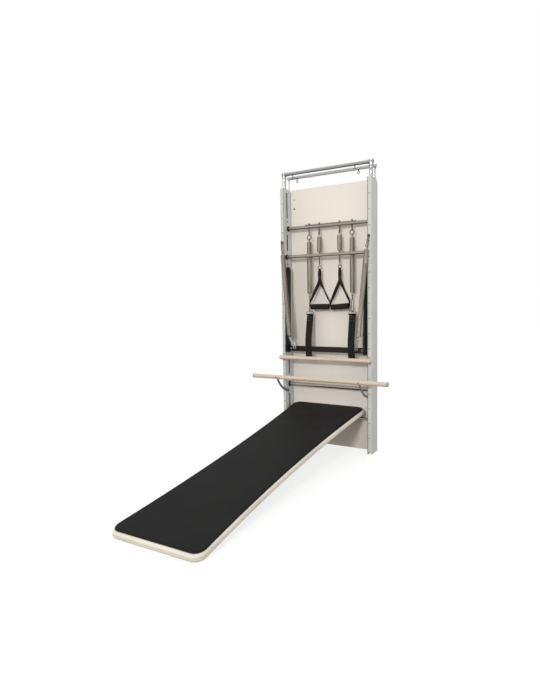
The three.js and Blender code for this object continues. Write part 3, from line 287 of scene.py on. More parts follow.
# Mesh helpers
def build(name, verts, faces, mat, body="tower", cad=None, slot=None, sharp=35):
    """A new object with its faces turned outward, which may replace a CAD node."""
    me = bpy.data.meshes.new(name)
    me.from_pydata([tuple(v) for v in verts], [], faces)
    me.validate()
    bm = bmesh.new()
    bm.from_mesh(me)
    bmesh.ops.recalc_face_normals(bm, faces=bm.faces)
    bm.to_mesh(me)
    bm.free()
    return dress(add_object(name, me), mat, body, cad, sharp)


def dress(obj, mat, body, cad, sharp):
    """Shades an object smooth, with hard edges over sharp degrees, and puts it on its body."""
    me = obj.data
    me.polygons.foreach_set("use_smooth", [True] * len(me.polygons))
    if sharp:
        me.set_sharp_from_angle(angle=math.radians(sharp))
    me.materials.append(mat)
    if cad:
        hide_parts(cad)
    if body:
        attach(obj, body)
    return obj


def refine(node, mat, bevel, segs):
    """A bevelled copy of a CAD node, which it replaces."""
    me = NODES[node].data.copy()
    me.materials.clear()
    bm = bmesh.new()
    bm.from_mesh(me)
    bmesh.ops.remove_doubles(bm, verts=bm.verts, dist=1e-6)
    bmesh.ops.dissolve_limit(bm, angle_limit=math.radians(1.5), verts=bm.verts, edges=bm.edges)
    bm.to_mesh(me)
    bm.free()
    obj = add_object(node + "_skin", me)
    mod = obj.modifiers.new("edges", "BEVEL")
    mod.width = bevel * MM
    mod.segments = segs
    mod.limit_method = "ANGLE"
    mod.angle_limit = math.radians(28)
    mod.use_clamp_overlap = True
    deps = bpy.context.evaluated_depsgraph_get()
    me = bpy.data.meshes.new_from_object(obj.evaluated_get(deps))
    obj.modifiers.clear()
    obj.data = me
    me.name = obj.name
    return dress(obj, mat, BODY_OF[node], node, 40)


def turned(u, v, a):
    """The direction at angle a from u towards v."""
    return u * math.cos(a) + v * math.sin(a)


def square_to(v, axis):
    return (v - axis * v.dot(axis)).normalized()


def between(a, b, n):
    """The places that split a to b into n equal steps, without its ends."""
    return [a + (b - a) * i / n for i in range(1, n)]


def loft(count, m, closed=False, ends=True):
    """Faces between count rings of m points each, with both ends capped."""
    faces = [(i * m + k, i * m + (k + 1) % m, (i + 1) % count * m + (k + 1) % m, (i + 1) % count * m + k)
             for i in range(count if closed else count - 1) for k in range(m)]
    if ends and not closed:
        faces += [tuple(reversed(range(m))), tuple((count - 1) * m + k for k in range(m))]
    return faces


def sweep(points, radius, sides=16, closed=False):
    """Vertices and faces of a round tube along a line of points; radius, in millimetres, may be a list."""
    pts = [Vector(p) for p in points]
    n = len(pts)
    radii = radius if isinstance(radius, list) else [radius] * n
    tang = []
    for i in range(n):
        a = pts[(i - 1) % n] if closed else pts[max(i - 1, 0)]
        b = pts[(i + 1) % n] if closed else pts[min(i + 1, n - 1)]
        tang.append((b - a).normalized())
    nor = square_to(Z if abs(tang[0].z) < 0.9 else X, tang[0])
    frames = []
    for t in tang:
        nor = square_to(nor, t)
        frames.append((nor.copy(), t.cross(nor)))
    if closed:
        end = square_to(frames[-1][0], tang[0])
        twist = math.atan2(end.dot(frames[0][1]), end.dot(frames[0][0]))
        for i, (u, v) in enumerate(frames):
            frames[i] = (turned(u, v, -twist * i / n), turned(v, -u, -twist * i / n))
    verts = [p + turned(u, v, 2 * math.pi * k / sides) * (r * MM)
             for (u, v), p, r in zip(frames, pts, radii) for k in range(sides)]
    return verts, loft(n, sides, closed)


def rod(radius, half, steps):
    """A plain round bar's profile for lathe."""
    return [(0, -half), *((radius, h) for h in (-half, *between(-half, half, steps), half)), (0, half)]


def lathe(profile, origin, axis, sides=48):
    """A turned piece: profile lists (radius, distance along axis) in millimetres, from end to end."""
    axis = Vector(axis).normalized()
    u = square_to(Z if abs(axis.z) < 0.9 else X, axis)
    v = axis.cross(u)
    verts, faces, rings = [], [], []
    for r, h in profile:
        count = sides if r > 0 else 1
        rings.append(range(len(verts), len(verts) + count))
        base = origin + axis * (h * MM)
        verts += [base + turned(u, v, 2 * math.pi * k / sides) * (r * MM) for k in range(count)]
    for a, b in zip(rings, rings[1:]):
        for k in range(sides):
            k2 = (k + 1) % sides
            if len(a) == 1:
                faces.append((a[0], b[k2], b[k]))
            elif len(b) == 1:
                faces.append((a[k], a[k2], b[0]))
            else:
                faces.append((a[k], a[k2], b[k2], b[k]))
    return verts, faces


def joined(*parts):
    verts, faces = [], []
    for v, f in parts:
        off = len(verts)
        verts += list(v)
        faces += [tuple(i + off for i in face) for face in f]
    return verts, faces


def arc(center, u, v, radius, a0, a1, steps):
    """Points of an arc from a0 to a1 degrees, the radius in millimetres."""
    return [center + turned(u, v, math.radians(a0 + (a1 - a0) * i / steps)) * (radius * MM)
            for i in range(steps + 1)]


def smooth_line(points, steps):
    """A Catmull-Rom line through points."""
    pts = [Vector(p) for p in points]
    pts = [pts[0] * 2 - pts[1]] + pts + [pts[-1] * 2 - pts[-2]]
    out = []
    for a, b, c, d in zip(pts, pts[1:], pts[2:], pts[3:]):
        for k in range(steps):
            t = k / steps
            out.append(0.5 * (2 * b + (c - a) * t + (2 * a - 5 * b + 4 * c - d) * t * t
                              + (3 * b - 3 * c + d - a) * t ** 3))
    out.append(pts[-2])
    return out


# Posts, panel, crossbars
INNER, GAP = 338.0, 0.3
POST_X, POST_H = 353.0, 2000.0
SLOT_Y, SLOT_EDGE, SLOTS_LOW, SLOTS_HIGH = 50.0, 5.6, 200, 1980
INSIDE_X, INSIDE_FRONT, INSIDE_BACK = 13.1, 1.9, 126.1
PLUG_Z, PLUG_R, TURN_Y, TURN_Z = 1997.5, 42.5, 82, 1955
for side, s in SIDES:
    post = refine(f"post_{side}", M_POST, 1.2, 3)
    # faces inside the tube and the cut sides of the slots get near-black painted shade
    post.data.materials.append(M_HOLLOW_SHADE)
    for face in post.data.polygons:
        c = face.center
        y, z = (c.y - Y0) / MM, c.z / MM
        inside = abs(c.x / MM - s * POST_X) < INSIDE_X and INSIDE_FRONT < y < INSIDE_BACK
        at_slot = abs(y - SLOT_Y) < SLOT_EDGE and SLOTS_LOW < z < SLOTS_HIGH
        dark = inside and abs(face.normal.z) < 0.5 or at_slot and abs(face.normal.x) < 0.97
        face.material_index = 1 if dark else 0
    # a plug closes the tube's top and follows its rounded back corner
    line = [(y, PLUG_Z) for y in (3, 30, 60, TURN_Y)]
    line += [(TURN_Y + PLUG_R * math.sin(a), TURN_Z + PLUG_R * math.cos(a))
             for a in np.linspace(0.2, math.pi / 2, 9)]
    verts = []
    for y, z in line:
        lean = (z - TURN_Z) / PLUG_R if y > TURN_Y else 1
        for dx, dz in ((-12.6, -1.2), (12.6, -1.2), (12.6, 1.2), (-12.6, 1.2)):
            verts.append(P(s * POST_X + dx, y + dz * math.sqrt(max(0, 1 - lean * lean)), z + dz * lean))
    build(f"post_plug_{side}", verts, loft(len(line), 4), M_BLACK, slot="post")

# black bands of painted shade round the slots and holes on the posts' inner faces
SLOT_HALF, SLOT_SHADE_WIDTH, SLOT_SHADE_DEPTH, SLOT_SHADE_STEPS = 4.0, 3.0, 0.6, 24
HOLES_AND_SLOTS = ((1747, 1755), (1781, 1971), (1527, 1649), (1421, 1429), (563, 670), (290, 400))


def slot_shade_band(side, name, z0, z1):
    """A thin black band of painted shade on a post's inner face round a slot or hole that reaches from z0 to
    z1, so that it shows as dark as the shade in the slot.
    """
    verts, faces, m = [], [], SLOT_SHADE_STEPS
    for x in (-SLOT_SHADE_DEPTH, 0):
        for half in (SLOT_HALF, SLOT_HALF + SLOT_SHADE_WIDTH):
            for i in range(m):
                a = 2 * math.pi * i / m
                mid = z1 - SLOT_HALF if math.sin(a) > 0 else z0 + SLOT_HALF
                verts.append(P(side * (INNER + x), SLOT_Y + half * math.cos(a), mid + half * math.sin(a)))
    for i in range(m):
        j = (i + 1) % m
        for p, q in ((0, m), (m, 3 * m), (3 * m, 2 * m), (2 * m, 0)):
            faces.append((p + i, p + j, q + j, q + i))
    build(name, verts, faces, M_SOCKET, slot="black")


for side, s in SIDES:
    for k, (z0, z1) in enumerate(HOLES_AND_SLOTS):
        slot_shade_band(s, f"post_slot_shade_{side}_{k}", z0, z1)
refine("back_panel", M_PANEL, 0.8, 2)
SCREW_X, PANEL_FACE = 310, 118
for side, s in SIDES:
    for k, (z, r) in enumerate(((1924, 4.4), (1855, 7.0), (120, 4.4), (60, 4.4))):
        head = [(0, -1.4), (r * 0.6, -1.4), (r * 0.95, -0.9), (r, 0.2), (0, 0.2)]
        v, f = lathe(head, P(s * SCREW_X, PANEL_FACE, z), Y, 20)
        build(f"panel_screw_{side[0]}{k}", v, f, M_DARK, slot="dark")

UY, UZ = 63.0, 1698.0
BARS = {"crossbar_upper": (UY, UZ), "crossbar_middle": (30, 1478), "crossbar_lower": (50, 478),
        "mat_support_bar": (62, 255)}
BAR_R, BAR_HALF, SOCKET_DEPTH = 12.5, INNER - GAP, 6
for node, (y, z) in BARS.items():
    v, f = lathe(rod(BAR_R, BAR_HALF - SOCKET_DEPTH, 24), P(0, y, z), X)
    build(node + "_tube", v, f, M_CHROME, cad=node, slot="chrome")
    for side, s in SIDES:
        v, f = lathe([(12.6, 8.2), (17.0, 8.0), (19.4, 6.8), (20, 5.2), (20, 0.6), (19.4, 0), (0, 0)],
                     P(s * BAR_HALF, y, z), -s * X)
        build(f"{node}_socket_{side[0]}", v, f, M_SOCKET, slot="black")
STRIP_X0, STRIP_X1, STRIP_LOW, STRIP_HIGH = -185.0, 229.0, UZ + 9.5, UZ + 16


def slab(x0, x1, y0, y1, z0, z1, edge):
    """A plate with all its edges rounded off, lofted through a stack of rounded outlines."""
    r = edge * 1.5
    corners = ((x1 - r, y0 + r, -90), (x1 - r, y1 - r, 0), (x0 + r, y1 - r, 90), (x0 + r, y0 + r, 180))
    rim = [(edge, 0), (edge * 0.3, edge * 0.3), (0, edge)]
    levels = [(a, z0 + h) for a, h in rim] + [(a, z1 - h) for a, h in reversed(rim)]
    verts = []
    for inset, z in levels:
        for cx, cy, start in corners:
            for a in (math.radians(start + 30 * i) for i in range(4)):
                verts.append(P(cx + (r - inset) * math.cos(a), cy + (r - inset) * math.sin(a), z))
    return verts, loft(len(levels), 16)


FRONT_DOTS, FIRST_DOT, DOT_STEP = 17, 1884.0, 110.1
for side, s in SIDES:
    dots = [lathe([(0, -0.5), (2.6, -0.5), (3.5, -0.3), (3.6, 0.2), (0, 0.2)],
                  P(s * POST_X, 0, FIRST_DOT - DOT_STEP * k), Y, 16) for k in range(FRONT_DOTS)]
    build(f"post_front_plugs_{side}", *joined(*dots), M_SOCKET, slot="black")
    # a thin dark strip down each post's inner front edge is painted shade along that edge
    x0, x1 = sorted((s * (INNER + 0.9), s * (INNER + 3.7)))
    v, f = slab(x0, x1, -0.3, 0.2, 2, POST_H - 3, 0.12)
    build(f"post_edge_shade_{side}", v, f, M_DARK, slot="dark")
v, f = slab(STRIP_X0, STRIP_X1, UY - 10, UY + 10, STRIP_LOW, STRIP_HIGH, 0.9)
build("crossbar_upper_strip", v, f, M_STEEL, slot="chrome", sharp=30)
for k, x in enumerate((STRIP_X0 + 6, STRIP_X1 - 6)):
    v, f = lathe([(0, -1), (5.5, -1), (5.5, 3.0), (4.4, 4), (0, 4.2)], P(x, UY, STRIP_HIGH), Z, 20)
    build(f"strip_screw_{k}", v, f, M_SOCKET, slot="black")


# Top frame and its eyes
def round_bar(a, b, radius, sides=36, edge=0.8, sleeves=()):
    """A straight tube between two points, its ends rounded off, with sleeves given as (from, to, radius)."""
    way = b - a
    length = way.length / MM
    n = max(2, int(length / 60))
    prof = [(0, 0), (radius - edge, 0), (radius, edge)]
    prof += [(radius, h) for h in between(edge, length - edge, n)]
    prof += [(radius, length - edge), (radius - edge, length), (0, length)]
    out = [lathe(prof, a, way, sides)]
    for start, stop, r in sleeves:
        out.append(lathe([(radius, start), (r - edge, start), (r, start + edge), (r, stop - edge),
                          (r - edge, stop), (radius, stop)], a, way, sides))
    return joined(*out)


TUBE, ELBOW, ELBOW_REACH, ELBOW_START = 12.5, 15.0, 27.0, -2.4
FRONT_Y, FRONT_Z, REAR_Y, REAR_Z = 40.0, 2108.0, 115.0, 2092.0
LEG_Y, LEG_R, LEG_LOW, FRONT_LEG_LOW = 119.5, 6, 1890, 1785
HALF = POST_X + TUBE
elbow = (ELBOW_START, TUBE + ELBOW_REACH, ELBOW)
far_elbow = (2 * HALF - elbow[1], 2 * HALF - ELBOW_START, ELBOW)
front = [round_bar(P(-HALF, FRONT_Y, FRONT_Z), P(HALF, FRONT_Y, FRONT_Z), TUBE, sleeves=(elbow, far_elbow))]
rear = [round_bar(P(-HALF, REAR_Y, REAR_Z), P(HALF, REAR_Y, REAR_Z), TUBE, edge=1.5)]
for _, s in SIDES:
    x = s * POST_X
    front.append(round_bar(P(x, FRONT_Y, FRONT_Z + TUBE), P(x, FRONT_Y, FRONT_LEG_LOW), TUBE,
                           sleeves=(elbow,)))
    rear.append(round_bar(P(x, LEG_Y, REAR_Z), P(x, LEG_Y, LEG_LOW), LEG_R, 24))
build("top_frame_front_tube", *joined(*front), M_TUBE, cad="top_frame_front", slot="post")
build("top_frame_rear_tube", *joined(*rear), M_TUBE_PALE, cad="top_frame_rear", slot="post")

TOP_EYES = (("front", FRONT_Y, FRONT_Z, 14), ("rear", REAR_Y, REAR_Z, 7.5))
EYE_R, EYE_STEM_R = 8, 2.5
for side, x in (("left", -278), ("right", 229)):
    for where, y, tube_z, stem_length in TOP_EYES:
        top = tube_z - TUBE - GAP
        c = top - 2 - stem_length - EYE_R
        ring = sweep(arc(P(x, y, c), X, Z, EYE_R, 80, -245, 26), EYE_STEM_R, 12)
        stem = sweep([P(x, y, c + 7.6), P(x, y, c + 10), P(x, y, top - 3)], EYE_STEM_R, 12)
        collar = lathe([(0, 0), (5.2, 0), (6, -0.8), (6, -3.4), (4.4, -4.0), (0, -4.0)], P(x, y, top), Z, 24)
        v, f = joined(ring, stem, collar)
        build(f"hook_eye_{where}_{side}", v, f, M_STEEL, cad=f"top_eye_{where}_{side}", slot="steel")

# Eyebolts on the upper crossbar
LONG_X = {"left": -154.0, "right": 198.0}
SHORT_X = {"left": -68.0, "right": 99.0}
LONG_EYE_Z = {"left": UZ - 80, "right": UZ - 68}
SHORT_EYE_Z = UZ - 53
LONG_EYE_R, SHORT_EYE_R, EYE_WIRE = 17.0, 10.0, 3.6
WIRE = 2.6
BOLT_R, BOLT_LOW, BOLT_HIGH = 5.4, UZ - 16, STRIP_HIGH + 11.5
NUT = [(0, 0), (7.6, 0), (8.5, 0.9), (8.5, 7.1), (7.6, 8), (0, 8)]
LOW_NUT = [(0, 0), (6.6, 0), (7.2, -0.6), (7.2, -4.8), (6.6, -5.4), (0, -5.4)]
EYEBOLTS = [(f"eyebolt_long_{side}", LONG_X[side], LONG_EYE_R, LONG_EYE_Z[side], X) for side in LONG_X]
EYEBOLTS += [(f"eyebolt_short_{side}", SHORT_X[side], SHORT_EYE_R, SHORT_EYE_Z, Y) for side in SHORT_X]
for node, x, r, z, plane in EYEBOLTS:
    ring = sweep(arc(P(x, UY, z), plane, Z, r, 90, -262, 34), EYE_WIRE, 14)
    stem = sweep([P(x, UY, z + r), P(x, UY, z + r + 4), P(x, UY, BOLT_LOW), P(x, UY, BOLT_HIGH)],
                 [EYE_WIRE, BOLT_R, BOLT_R, EYE_WIRE], 14)
    nuts = lathe(NUT, P(x, UY, STRIP_HIGH + GAP), Z, 6), lathe(LOW_NUT, P(x, UY, UZ - 12.8), Z, 24)
    build(node + "_fine", *joined(ring, stem, *nuts), M_IRON, cad=node, slot="steel", sharp=30)


# Springs
def helix(top, bottom, outer, wire, pitch, dome):
    """The coil's line from top to bottom; its last turns close in to a blunt dome at both ends."""
    axis = bottom - top
    length = axis.length / MM
    axis.normalize()
    u = square_to(Y if abs(axis.y) < 0.9 else X, axis)
    v = axis.cross(u)
    turns = length / pitch
    steps = int(turns * 14)
    pts = []
    for i in range(steps + 1):
        h = length * i / steps
        near = 1 - min(1, min(h, length - h) / dome)
        r = (outer - wire) * (0.42 + 0.58 * math.sqrt(max(0, 1 - near * near)))
        pts.append(top + axis * (h * MM) + turned(u, v, 2 * math.pi * turns * i / steps) * (r * MM))
    return pts


def open_hook(tip, away, side, radius, wire):
    """An end hook: a loop whose outermost point is tip, with a short shank leading away from it."""
    c = tip + away * (radius * MM)
    pts = arc(c, side, -away, radius, -50, 245, 24)
    pts += [c + away * ((radius + 1.5) * MM), c + away * ((radius + 9) * MM)]
    return sweep(pts, wire, 10)


LOOP, NECK, COIL_WIRE, PITCH, DOME = 8.0, 7.0, 1.45, 4.1, 9


def spring(name, node, body, top, bottom, outer, top_side, bottom_side, shank=0):
    """A closed coil with a plug and an open hook at both ends; shank lengthens the lower end."""
    axis = (bottom - top).normalized()
    coil_top = top + axis * ((2 * LOOP + NECK) * MM)
    coil_bottom = bottom - axis * ((2 * LOOP + NECK + shank) * MM)
    coil = sweep(helix(coil_top, coil_bottom, outer, COIL_WIRE, PITCH, DOME), COIL_WIRE, 6)
    plug = [(0, -5), (3.4, -5), (4.8, -3), (6, 1), (outer * 0.55, 4), (outer * 0.62, 7), (0, 8)]
    ends = [lathe(plug, coil_top, axis, 20), lathe(plug, coil_bottom, -axis, 20),
            open_hook(top, axis, top_side, LOOP, WIRE - 0.1),
            open_hook(bottom, -axis, bottom_side, LOOP, WIRE - 0.1)]
    if shank:
        v, f = sweep([coil_bottom, coil_bottom + axis * (6 * MM), bottom - axis * (22 * MM),
                      bottom - axis * (17 * MM)], [6, 5.2, 5.2, WIRE], 12)
        build(name + "_shank", v, f, M_IRON, body, slot="steel")
    return build(name, *joined(coil, *ends), M_SPRING, body, cad=node, slot="spring", sharp=0)


HANG_OUTER, SIDE_OUTER = 19.0, 18.0
TURN = {"left": 10.0, "right": -2.0}
LONG_BOTTOM = UZ - 508 - NECK - 2 * LOOP
for side, x in LONG_X.items():
    long_top = P(x, UY, LONG_EYE_Z[side] - LONG_EYE_R + EYE_WIRE + WIRE + GAP)
    spring(f"long_spring_{side}", f"spring_long_{side}", f"long_{side}", long_top, P(x, UY, LONG_BOTTOM),
           HANG_OUTER, Y, X)
RING_R, RING_WIRE, RING_Z = 13.0, 2.8, UZ - 312
SHORT_TOP = SHORT_EYE_Z - SHORT_EYE_R + EYE_WIRE + WIRE + GAP
SHORT_BOTTOM = RING_Z + RING_R - RING_WIRE - WIRE - GAP
for side, x in SHORT_X.items():
    spring(f"short_spring_{side}", f"spring_short_{side}", f"short_{side}", P(x, UY, SHORT_TOP),
           P(x, UY, SHORT_BOTTOM), HANG_OUTER, X, turned(Y, -X, math.radians(TURN[side])),
           shank=UZ - 194 - SHORT_BOTTOM - 2 * LOOP - NECK)

# Push-through bar
PY, PZ, LEAN = 24.0, 1370.0, math.radians(-2.1)
REACH, BAR_FRONT = 604.0, 9.0


def PTB(x, y, z):
    """A point of the push-through bar, in millimetres from the middle of its pivots' axis."""
    return P(x, PY + y * math.cos(LEAN) - z * math.sin(LEAN), PZ + y * math.sin(LEAN) + z * math.cos(LEAN))


PIVOT = [(0, 0), (16, 0), (17, 1), (17, 8), (16, 9), (7.5, 9), (7.5, 23.6), (13, 23.6), (13, 26.6),
         (11.4, 28.2), (0, 28.5)]
BAR_BOLT = [(0, 0.4), (9, 0.4), (10, -0.4), (9.4, -2.4), (5.4, -3.0), (4.8, -2.0), (0, -1.8)]
for side, s in SIDES:
    refine(f"ptb_arm_{side}", M_BLACK, 1.2, 3)
    v, f = lathe(PIVOT, P(s * BAR_HALF, PY, PZ), -s * X, 40)
    build(f"ptb_pivot_{side}_fine", v, f, M_BLACK, cad=f"ptb_pivot_{side}", slot="black")
    v, f = lathe(BAR_BOLT, PTB(s * 296, BAR_FRONT, -REACH + 1), Y, 28)
    build(f"ptb_bar_bolt_{side}", v, f, M_GREY, "push_through_bar", slot="steel")
refine("ptb_bar", M_BLACK, 0.6, 2)
SPRING_EYE_R, SPRING_EYE_WIRE, SPRING_EYE_STEM = 9, 3, 7
SPRING_EYE_OUT = 0.3 + SPRING_EYE_STEM + SPRING_EYE_R
EYE_LOW_X, POST_EYE_Z = 253, 1590


def fine_eye(name, node, body, at, out):
    """An eye whose stem starts at a face and whose ring stands in the plane of out and Z."""
    c = at + out * (SPRING_EYE_OUT * MM)
    ring = sweep(arc(c, -out, Z, SPRING_EYE_R, 20, 340, 28), SPRING_EYE_WIRE, 12)
    shaft = sweep([at + out * (0.3 * MM), at + out * ((1.3 + SPRING_EYE_STEM) * MM)], 3.4, 12)
    base = lathe([(0, 0.3), (8, 0.3), (8, 1.7), (7.2, 2.6), (0, 2.7)], at, out, 28)
    build(name, *joined(ring, shaft, base), M_IRON, body, cad=node, slot="steel")


for side, s in SIDES:
    fine_eye(f"side_eye_top_{side}", f"post_eye_{side}", "tower", P(s * POST_X, 0, POST_EYE_Z), -Y)
    fine_eye(f"side_eye_low_{side}", f"ptb_eye_{side}", "push_through_bar",
             PTB(s * EYE_LOW_X, BAR_FRONT, -REACH), turned(-Y, -Z, LEAN))


def snap_hook(a, b, face, width, wire, gate):
    """A spring-gate hook from a, its narrow end, to b, its wide end; gate, 1 or -1, is the gate's side."""
    axis = (b - a).normalized()
    w = axis.cross(square_to(face, axis)) * gate
    half = width - wire * 0.2
    small = half * 0.55
    start, c = a + axis * (small * MM), b - axis * (half * MM)
    loop = arc(start, -axis, -w, small, 100, 0, 7)
    loop += [start - turned(axis, -w, t) * (small * MM) for t in np.linspace(0.1, math.radians(100), 8)]
    loop += [c + turned(w, axis, t) * (half * MM) for t in np.linspace(-0.25, math.pi + 0.75, 20)]
    body = sweep(loop, wire, 12)
    gate_rod = sweep([loop[-1] + axis * (1 * MM), loop[0]], wire * 0.78, 12)
    knob = lathe([(0, -2.6), (wire * 1.1, -2.2), (wire * 1.25, 0), (wire * 1.1, 2.2), (0, 2.6)],
                 loop[-1].lerp(loop[0], 0.3), w, 14)
    return joined(body, gate_rod, knob)


SIDE_HOOK_W, LINK_WIRE, SAG = 9.5, 3.0, 1.2
TIE = LINK_WIRE + WIRE + SAG + GAP
HOLD = SPRING_EYE_WIRE + LINK_WIRE + SAG + GAP
for side, s in SIDES:
    top = P(s * 343.5, -23, 1517)
    low = P(s * 281, -38, 846)
    axis = (top - low).normalized()
    held_top = P(s * POST_X, -SPRING_EYE_OUT, POST_EYE_Z - SPRING_EYE_R + HOLD)
    held_low = PTB(s * EYE_LOW_X, BAR_FRONT - SPRING_EYE_OUT, SPRING_EYE_R - REACH - HOLD)
    v, f = snap_hook(held_top, top - axis * (TIE * MM), Y, SIDE_HOOK_W, 2.9, s)
    build(f"side_hook_top_{side}", v, f, M_IRON, cad=f"side_link_top_{side}", slot="steel")
    v, f = snap_hook(low + axis * (TIE * MM), held_low, Y, SIDE_HOOK_W, 3.8, -s)
    build(f"side_hook_low_{side}", v, f, M_BRIGHT, "push_through_bar", cad=f"side_link_low_{side}",
          slot="steel")
    obj = spring(f"side_spring_{side}_fine", f"side_spring_{side}", None, top, low, SIDE_OUTER, Y, Y)
    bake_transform(obj)

# Hooks and rings under the long springs
SWIVEL_EYE_R, SWIVEL_EYE_WIRE = 7.5, 2.6
EYE_MID = LONG_BOTTOM + 5.9 - SWIVEL_EYE_R
SWIVEL = [(0, 2), (4.6, 1.5), (5.6, -2), (4.2, -5), (4.2, -10), (6, -12), (6, -16), (3.6, -19), (0, -19)]
D_BAR, D_WIRE, D_H, D_W, D_CORNER, D_SHOULDER = UZ - 669, 2.7, 34.0, 66.0, 4, 9
HOOK_LOW = D_BAR + D_H - 3 * D_WIRE - 3.6
for side, x in LONG_X.items():
    eye = sweep(arc(P(x, UY, EYE_MID), Y, Z, SWIVEL_EYE_R, 0, 360, 28)[:-1], SWIVEL_EYE_WIRE, 12, closed=True)
    swivel = lathe(SWIVEL, P(x, UY, EYE_MID - SWIVEL_EYE_R), Z, 24)
    facing, gate = (X, 1) if side == "left" else ((Y - X).normalized(), -1)
    hook = snap_hook(P(x, UY, EYE_MID - SWIVEL_EYE_R - 14), P(x, UY, HOOK_LOW), facing, 11, 2.9, gate)
    v, f = joined(eye, swivel, hook)
    build(f"swivel_hook_{side}", v, f, M_STEEL, f"long_{side}", cad=f"snap_hook_{side}", slot="steel")
    half, rise = D_W / 2 - D_WIRE, D_H - 2 * D_WIRE - D_SHOULDER
    flat = half - D_CORNER
    corner = [(flat + D_CORNER * math.sin(t), D_CORNER - D_CORNER * math.cos(t))
              for t in np.linspace(0.3, math.pi / 2, 4)]
    outline = [(t, 0) for t in np.linspace(-flat, flat, 6)] + corner
    outline += [(half * math.cos(t), D_SHOULDER + rise * math.sin(t))
                for t in np.linspace(0.05, math.pi - 0.05, 22)]
    outline += [(-a, b) for a, b in reversed(corner)]
    v, f = sweep([P(x + a, UY, D_BAR + b) for a, b in outline], D_WIRE, 12, closed=True)
    build(f"d_ring_{side}_fine", v, f, M_STEEL, f"long_{side}", cad=f"d_ring_{side}", slot="steel")


# Flat webbing
def ribbon(line, across, width, thick, cells=8):
    """A flat strap along a line; across gives its width's direction at each point. Rounded edges."""
    n = len(line)
    section = []
    for i in range(cells + 1):
        t = -1 + 2 * i / cells
        edge = math.sqrt(max(0.0, 1 - abs(t) ** 8))
        section.append((t * width / 2, thick / 2 * (0.35 + 0.65 * edge)))
    outline = section + [(a, -b) for a, b in reversed(section)]
    verts = []
    for i, p in enumerate(line):
        t = (line[min(i + 1, n - 1)] - line[max(i - 1, 0)]).normalized()
        w = square_to(across[i] if isinstance(across, list) else across, t)
        verts += [p + w * (a * MM) + t.cross(w) * (b * MM) for a, b in outline]
    return verts, loft(n, len(outline))


STRAP_HALF, STRAP_W, STRAP_SHIFT, BAR_HALF_HIGH = 2.4, 54.0, 17.0, 20.5
FOLD_R, FOLD_THICK = 5.9, 2.6
bar_low = PTB(0, BAR_FRONT, -REACH - BAR_HALF_HIGH)
bar_high = PTB(0, BAR_FRONT, -REACH + BAR_HALF_HIGH)
strap_y = (bar_low.y - Y0) / MM - 0.6 - STRAP_HALF
turn_z = bar_high.z / MM + 34
STRAP_LOW = D_BAR - 348
HEAD_Z = D_BAR - 14


def strap_x(x, z):
    """A leg strap hangs a little to the right going down."""
    return x + STRAP_SHIFT * (D_BAR - z) / (D_BAR - STRAP_LOW)


def strap_depth(z):
    """How far back the strap lies at a height: it slants forward to the bar, and then hangs."""
    k = max(0, min(1, (HEAD_Z - z) / (HEAD_Z - turn_z)))
    return (UY - 1) + (strap_y - UY + 1) * k


for side, x in LONG_X.items():
    path = [P(x, UY, D_BAR - 6.5)]
    for z in (HEAD_Z, 975, 930, 880, 845, turn_z - 12, turn_z - 40, 730, STRAP_LOW + 4, STRAP_LOW):
        path.append(P(strap_x(x, z), strap_depth(z) + (1.2 if abs(z - turn_z) < 13 else 0), z))
    strap = ribbon(smooth_line(path, 6), X, STRAP_W, 2 * STRAP_HALF - 0.4, cells=10)
    fold = arc(P(x, UY, D_BAR), Y, Z, FOLD_R, -80, 260, 21)
    v, f = joined(strap, ribbon(fold, X, STRAP_W, FOLD_THICK, cells=10))
    obj = build(f"leg_strap_{side}_web", v, f, M_STRAP, None, f"leg_strap_{side}", "webbing", 50)
    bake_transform(obj)
    # stitching where the webbing is folded back on itself
    for k, z in enumerate((D_BAR - 20, D_BAR - 46)):
        y = strap_depth(z) - STRAP_HALF - 0.1
        v, f = sweep([P(strap_x(x, z) + t, y, z) for t in np.linspace(-22, 22, 23)], 0.45, 6)
        build(f"leg_strap_{side}_stitch_{k}", v, f, M_SEAM, f"long_{side}", slot="webbing")

# Stirrup handles
SPLIT_Z, CORNER_Z, GRIP_Z = RING_Z - 102, RING_Z - 264, RING_Z - 297
WEB_HALF_W, WEB_W, WEB_SHIFT, GRIP_HALF = 79.0, 25, 1.4, 71.5
NECK_W, NECK_SIDE, NECK_FACE = 26, 2.1, 2.8
GRIP_R, GRIP_BORE, RIB_DEPTH, RIB_STEP = 21.5, 13.2, 0.35, 7.0
TILT = {"left": 0.0, "right": 4.5}
